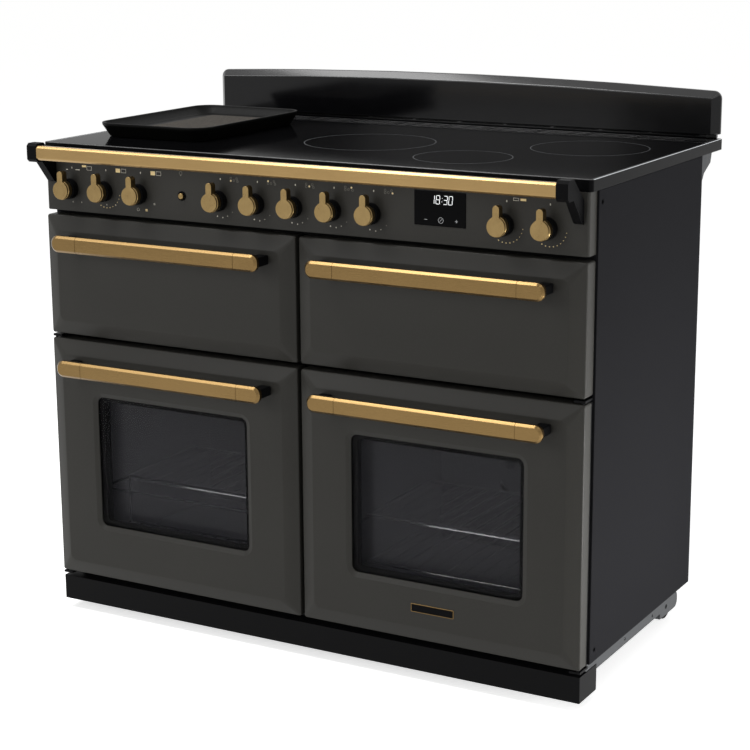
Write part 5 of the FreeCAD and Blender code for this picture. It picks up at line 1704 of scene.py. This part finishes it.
@dataclass
class Carcass(SubAssembly):
    """Body sheets, plinth, feet and what is inside the ovens.

    Args:
        nodes: The model's objects by name.
        plate_x: Extent of the door plate on X.
        plate_z: Extent of the door plate on Z.
        plate_profile: Inset, place in front of the door and corner radius of the plate border's stations.
        plate_face: How far the plate's face stands in front of the door.
        rail_holes: Places on Y and Z of the holes in the base rails.
        hole_radius: Radius of those holes.
        hole_length: Length of the punch that makes them.
        bracket_end: Radius of the rear end of the roller brackets.
        bracket_screw: Place on Y and Z of the screw in a roller bracket.
        bracket_head: Radius and height of that screw's head.
        side_screws: Places on Y and Z of the screws in the side sheets.
        side_head: Radius and height of those screws' heads.
        shelf_rises: Side, height and upward tilt in degrees of each shelf's front strip.
        shelf_x: Extent of such a strip to each side of the middle.
        strip_height: Height of such a strip.
        strip_depth: Thickness of such a strip.
    """

    plate_x: Span = Span(227.8, 310.7)
    plate_z: Span = Span(132.5, 147.8)
    plate_profile: tuple[tuple[float, float, float], ...] = (
        (0.0, -0.4, 1.2), (0.0, 0.8, 1.2), (0.3, 1.0, 1.0), (0.9, 1.0, 0.8), (1.1, 0.6, 0.8))
    plate_face: float = 0.65
    rail_holes: tuple[tuple[float, float], ...] = ((112.2, 45.6), (-19.8, 46.3))
    hole_radius: float = 3.0
    hole_length: float = 8.0
    bracket_end: float = 13.0
    bracket_screw: tuple[float, float] = (182.0, 41.0)
    bracket_head: tuple[float, float] = (5.0, 2.0)
    side_screws: tuple[tuple[float, float], ...] = ((-223.6, 864.3), (-218.3, 100.0))
    side_head: tuple[float, float] = (4.2, 1.2)
    shelf_rises: tuple[tuple[str, float, float], ...] = (
        ("left", 235.0, 8.0), ("right", 150.0, 18.0), ("right", 240.0, 8.0))
    shelf_x: Span = Span(59.5, 486.0)
    strip_height: float = 2.6
    strip_depth: float = 1.5

    def build(self) -> None:
        """Make or finish the pieces of the body."""
        self.softened("side_panels", SIDE_SHEET, 1.2)
        self.softened("plinth", BLACK_ENAMEL, 0.8)
        self.softened("back_panel", GALVANISED, 0.6)
        self.softened("terminal_box", GALVANISED, 1.2)
        self.softened("front_frame", BLACK_ENAMEL, 0.6)
        self.softened("hinge_brackets", BLACK_ENAMEL, 0.5)
        self.base_rails()
        self.roller_brackets()
        for node, finish in (("oven_liners", CAVITY), ("upper_chambers", CAVITY), ("door_seals", SEAL),
                             ("cavity_rails", CAVITY), ("oven_shelves", CAVITY), ("fan_covers", CAVITY),
                             ("fan_motors", GALVANISED), ("heating_elements", ELEMENT),
                             ("door_rack", BLACK_ENAMEL), ("grill_carriage", CHROME), ("grill_pan", CAVITY),
                             ("storage_drawer_box", GALVANISED)):
            self.painted(node, finish)
        for side in SIDES:
            self.painted(f"oven_fan_{side}", GALVANISED)
            self.softened(f"rear_roller_{side}", PLASTIC, 1.5, f"rear_roller_{side}")
            self.softened(f"front_foot_{side}", GALVANISED, 1.0, f"front_foot_{side}")
        self.badge()
        self.screws()
        self.shelf_strips()

    def base_rails(self) -> None:
        """Make the base rails with their punched holes."""
        piece = self.copied("base_frame")
        outside = Box.of_node("base_frame").x.high
        for side in SIDES.values():
            for place in self.rail_holes:
                piece.drilled(Workpiece.rod("punch", Axis.X, place, self.hole_radius,
                                            Span.about(outside * side, self.hole_length), 16))
        dress(piece.rounded(0.6).smoothed(), GALVANISED, COOKER, ["base_frame"])

    def roller_brackets(self) -> None:
        """Make the roller brackets with a rounded rear end and a screw in each."""
        piece = self.copied("roller_brackets")
        box = Box.of_node("roller_brackets")
        piece.select_edges(lambda a, b: runs_along(Axis.X, a, b) and a.y > box.y.high - END)
        piece.bevel_selected(self.bracket_end, 6)
        dress(piece.rounded(0.6).smoothed(), GALVANISED, COOKER, ["roller_brackets"])
        heads = self.heads([self.bracket_screw], box.x.high, self.bracket_head, 0.6)
        dress(Workpiece.gathered("roller_bracket_screws", heads).smoothed(), PLASTIC)

    def heads(self, places: Sequence[tuple[float, float]], face: float, size: tuple[float, float],
              width: float) -> Iterator[Workpiece]:
        """Make screw heads on both sides of the cooker.

        Args:
            places: Places on Y and Z.
            face: Distance of the heads' tops from the middle.
            size: Radius and height of a head.
            width: Rounding of a head's edge.

        Yields:
            Each head.
        """
        radius, height = size
        for side in SIDES.values():
            for place in places:
                span = Span.about((face - height / 2) * side, height)
                yield Workpiece.rod("head", Axis.X, place, radius, span, 24).rounded(width, 2)

    def badge(self) -> None:
        """Make the bare plate on the right oven door."""
        front = Box.of_node("oven_door_right_skin").y.low
        ring = Ring(self.plate_x, self.plate_z, front, 0)
        stations = [ring.inset(inset, front - rise, corner) for inset, rise, corner in self.plate_profile]
        border = Workpiece.loft("door_plate_border", Axis.Y, stations)
        dress(border.smoothed(), BRASS, "oven_door_right")
        inset, _, corner = self.plate_profile[-1]
        inner = ring.inset(inset, front, corner)
        plate = Workpiece.prism("door_plate", Axis.Y, inner, front - self.plate_face)
        dress(plate.smoothed(), PLASTIC, "oven_door_right")

    def shelf_strips(self) -> None:
        """Make the bright strip along the front of each oven shelf."""
        front = Box.of_node("oven_shelves").y.low
        strips = []
        for side, rise, tilt in self.shelf_rises:
            x = Span(*sorted(SIDES[side] * end for end in (self.shelf_x.low, self.shelf_x.high)))
            box = Box(x, Span.about(front, self.strip_depth), Span.about(rise, self.strip_height))
            strip = Workpiece.block("strip", box).rounded(0.4)
            strips.append(strip.turned(Axis.X, -tilt, Vector((0, front, rise))))
        dress(Workpiece.gathered("shelf_strips", strips).smoothed(50), CHROME)

    def screws(self) -> None:
        """Make the screws at the front of the side panels."""
        heads = self.heads(self.side_screws, Box.of_node("side_panels").x.high, self.side_head, 0.4)
        dress(Workpiece.gathered("side_screws", heads).smoothed(), PLASTIC)


@dataclass(frozen=True)
class Lamp:
    """A softbox of the studio.

    Args:
        name: Name of the lamp.
        place: Where it hangs.
        target: Where it points.
        size: Its width and height.
        power: Power in watts.
    """

    name: str
    place: tuple[float, float, float]
    target: tuple[float, float, float]
    size: tuple[float, float]
    power: float

    def hung(self) -> None:
        """Hang the softbox, out of the camera's sight."""
        data = bpy.data.lights.new(self.name, "AREA")
        data.shape = "RECTANGLE"
        data.size = self.size[0] * MM
        data.size_y = self.size[1] * MM
        data.energy = self.power
        lamp = bpy.data.objects.new(self.name, data)
        bpy.context.scene.collection.objects.link(lamp)
        lamp.location = Vector(self.place) * MM
        lamp.rotation_euler = (Vector(self.target) - Vector(self.place)).to_track_quat("-Z", "Y").to_euler()
        lamp.visible_camera = False


@dataclass(frozen=True)
class Studio:
    """Camera, floor, lamps and background.

    Args:
        azimuth: Turn of the camera to the right of the front, in degrees.
        elevation: Height of the camera above the horizon, in degrees.
        roll: Turn of the camera about its own axis, in degrees.
        place: Place of the camera.
        lens: Focal length of the camera.
        sensor: Width of its picture.
        reach: How far it sees, in metres.
        floor_size: Edge of the floor.
        floor_white: Share by which the floor is lifted to white where it is seen.
        sky_light: Strength of the soft light from all round.
        lamps: The softboxes.
    """

    azimuth: float = 29.4534
    elevation: float = 13.8217
    roll: float = -0.3513
    place: tuple[float, float, float] = (1747.97, -3094.82, 1342.41)
    lens: float = 93.736
    sensor: float = 36.0
    reach: float = 200.0
    floor_size: float = 90000.0
    floor_white: float = 0.66
    sky_light: float = 0.38
    lamps: tuple[Lamp, ...] = (
        Lamp("overhead_softbox", (-1150, -1000, 3300), (-900, -800, 800), (1000, 900), 29),
        Lamp("left_softbox", (-2250, -1190, 3300), (-1600, -800, 800), (1100, 820), 16),
        Lamp("right_softbox", (1740, -1080, 3300), (300, -300, 800), (700, 700), 7),
        Lamp("rear_softbox", (-1150, -300, 3300), (-700, 100, 900), (2000, 500), 17),
        Lamp("front_softbox", (-1850, -3700, 2050), (0, -100, 800), (1100, 1500), 32),
        Lamp("right_reflector", (1400, 0, 120), (540, 0, 300), (900, 200), 14))

    def build(self) -> None:
        """Set up the camera, the floor, the lamps and the world."""
        self.camera()
        self.floor()
        for lamp in self.lamps:
            lamp.hung()
        self.world()
        bpy.context.scene.view_settings.view_transform = "Standard"

    def camera(self) -> None:
        """Place the camera at the photograph's viewing angle."""
        turn, rise, roll = (math.radians(a) for a in (self.azimuth, self.elevation, self.roll))
        back = Vector((math.sin(turn) * math.cos(rise), -math.cos(turn) * math.cos(rise), math.sin(rise)))
        level = Vector((math.cos(turn), math.sin(turn), 0))
        upright = back.cross(level)
        right = level * math.cos(roll) + upright * math.sin(roll)
        up = upright * math.cos(roll) - level * math.sin(roll)
        data = bpy.data.cameras.new("camera")
        data.sensor_width = self.sensor
        data.lens = self.lens
        data.clip_end = self.reach
        camera = bpy.data.objects.new("camera", data)
        bpy.context.scene.collection.objects.link(camera)
        turned = Matrix((right, up, back)).transposed().to_4x4()
        camera.matrix_world = Matrix.Translation(Vector(self.place) * MM) @ turned
        bpy.context.scene.camera = camera

    def seen(self, tree: bpy.types.NodeTree) -> bpy.types.NodeSocket:
        """Tell the rays that show a surface from those that only light others by it.

        Args:
            tree: The node tree.

        Returns:
            1 for rays from the camera, a reflection or a transmission, else 0.
        """
        path = add_node(tree, "ShaderNodeLightPath").outputs
        direct = add_node(tree, "ShaderNodeMath", {0: path["Is Camera Ray"], 1: path["Is Glossy Ray"]},
                          operation="MAXIMUM")
        shown = add_node(tree, "ShaderNodeMath", {0: direct.outputs["Value"], 1: path["Is Transmission Ray"]},
                         operation="MAXIMUM")
        return shown.outputs["Value"]

    def floor(self) -> None:
        """Lay a plain pale floor that reads as white where no shadow falls."""
        deselect()
        bpy.ops.mesh.primitive_plane_add(size=self.floor_size * MM)
        floor = bpy.context.object
        floor.name = "studio_floor"
        material = bpy.data.materials.new("pale_floor")
        material.use_nodes = True
        tree = material.node_tree
        surface = tree.nodes["Principled BSDF"]
        surface.inputs["Base Color"].default_value = linear("#f2f2f1")
        surface.inputs["Roughness"].default_value = 0.9
        surface.inputs["Specular IOR Level"].default_value = 0.0
        surface.inputs["Emission Color"].default_value = linear("#ffffff")
        lift = add_node(tree, "ShaderNodeMapRange", {"Value": self.seen(tree), "To Max": self.floor_white})
        tree.links.new(lift.outputs["Result"], surface.inputs["Emission Strength"])
        floor.data.materials.append(material)

    def world(self) -> None:
        """Make the soft light from all round, which reads as white where it is seen."""
        world = bpy.data.worlds.new("pale_studio")
        bpy.context.scene.world = world
        world.use_nodes = True
        tree = world.node_tree
        tree.nodes.clear()
        light = add_node(tree, "ShaderNodeMapRange", {"Value": self.seen(tree), "To Min": self.sky_light})
        sky = add_node(tree, "ShaderNodeBackground", {"Color": linear("#ffffff"),
                                                      "Strength": light.outputs["Result"]})
        add_node(tree, "ShaderNodeOutputWorld", {"Surface": sky.outputs["Background"]})


def main() -> None:
    """Build the cooker's looks around its model."""
    logging.basicConfig(level=logging.INFO, format="%(name)s: %(message)s")
    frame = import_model()
    for section in (Fronts, ControlPanel, Hob, Carcass):
        section(frame["nodes"]).build()
    Studio().build()
    deselect()


if __name__ == "__main__":
    main()
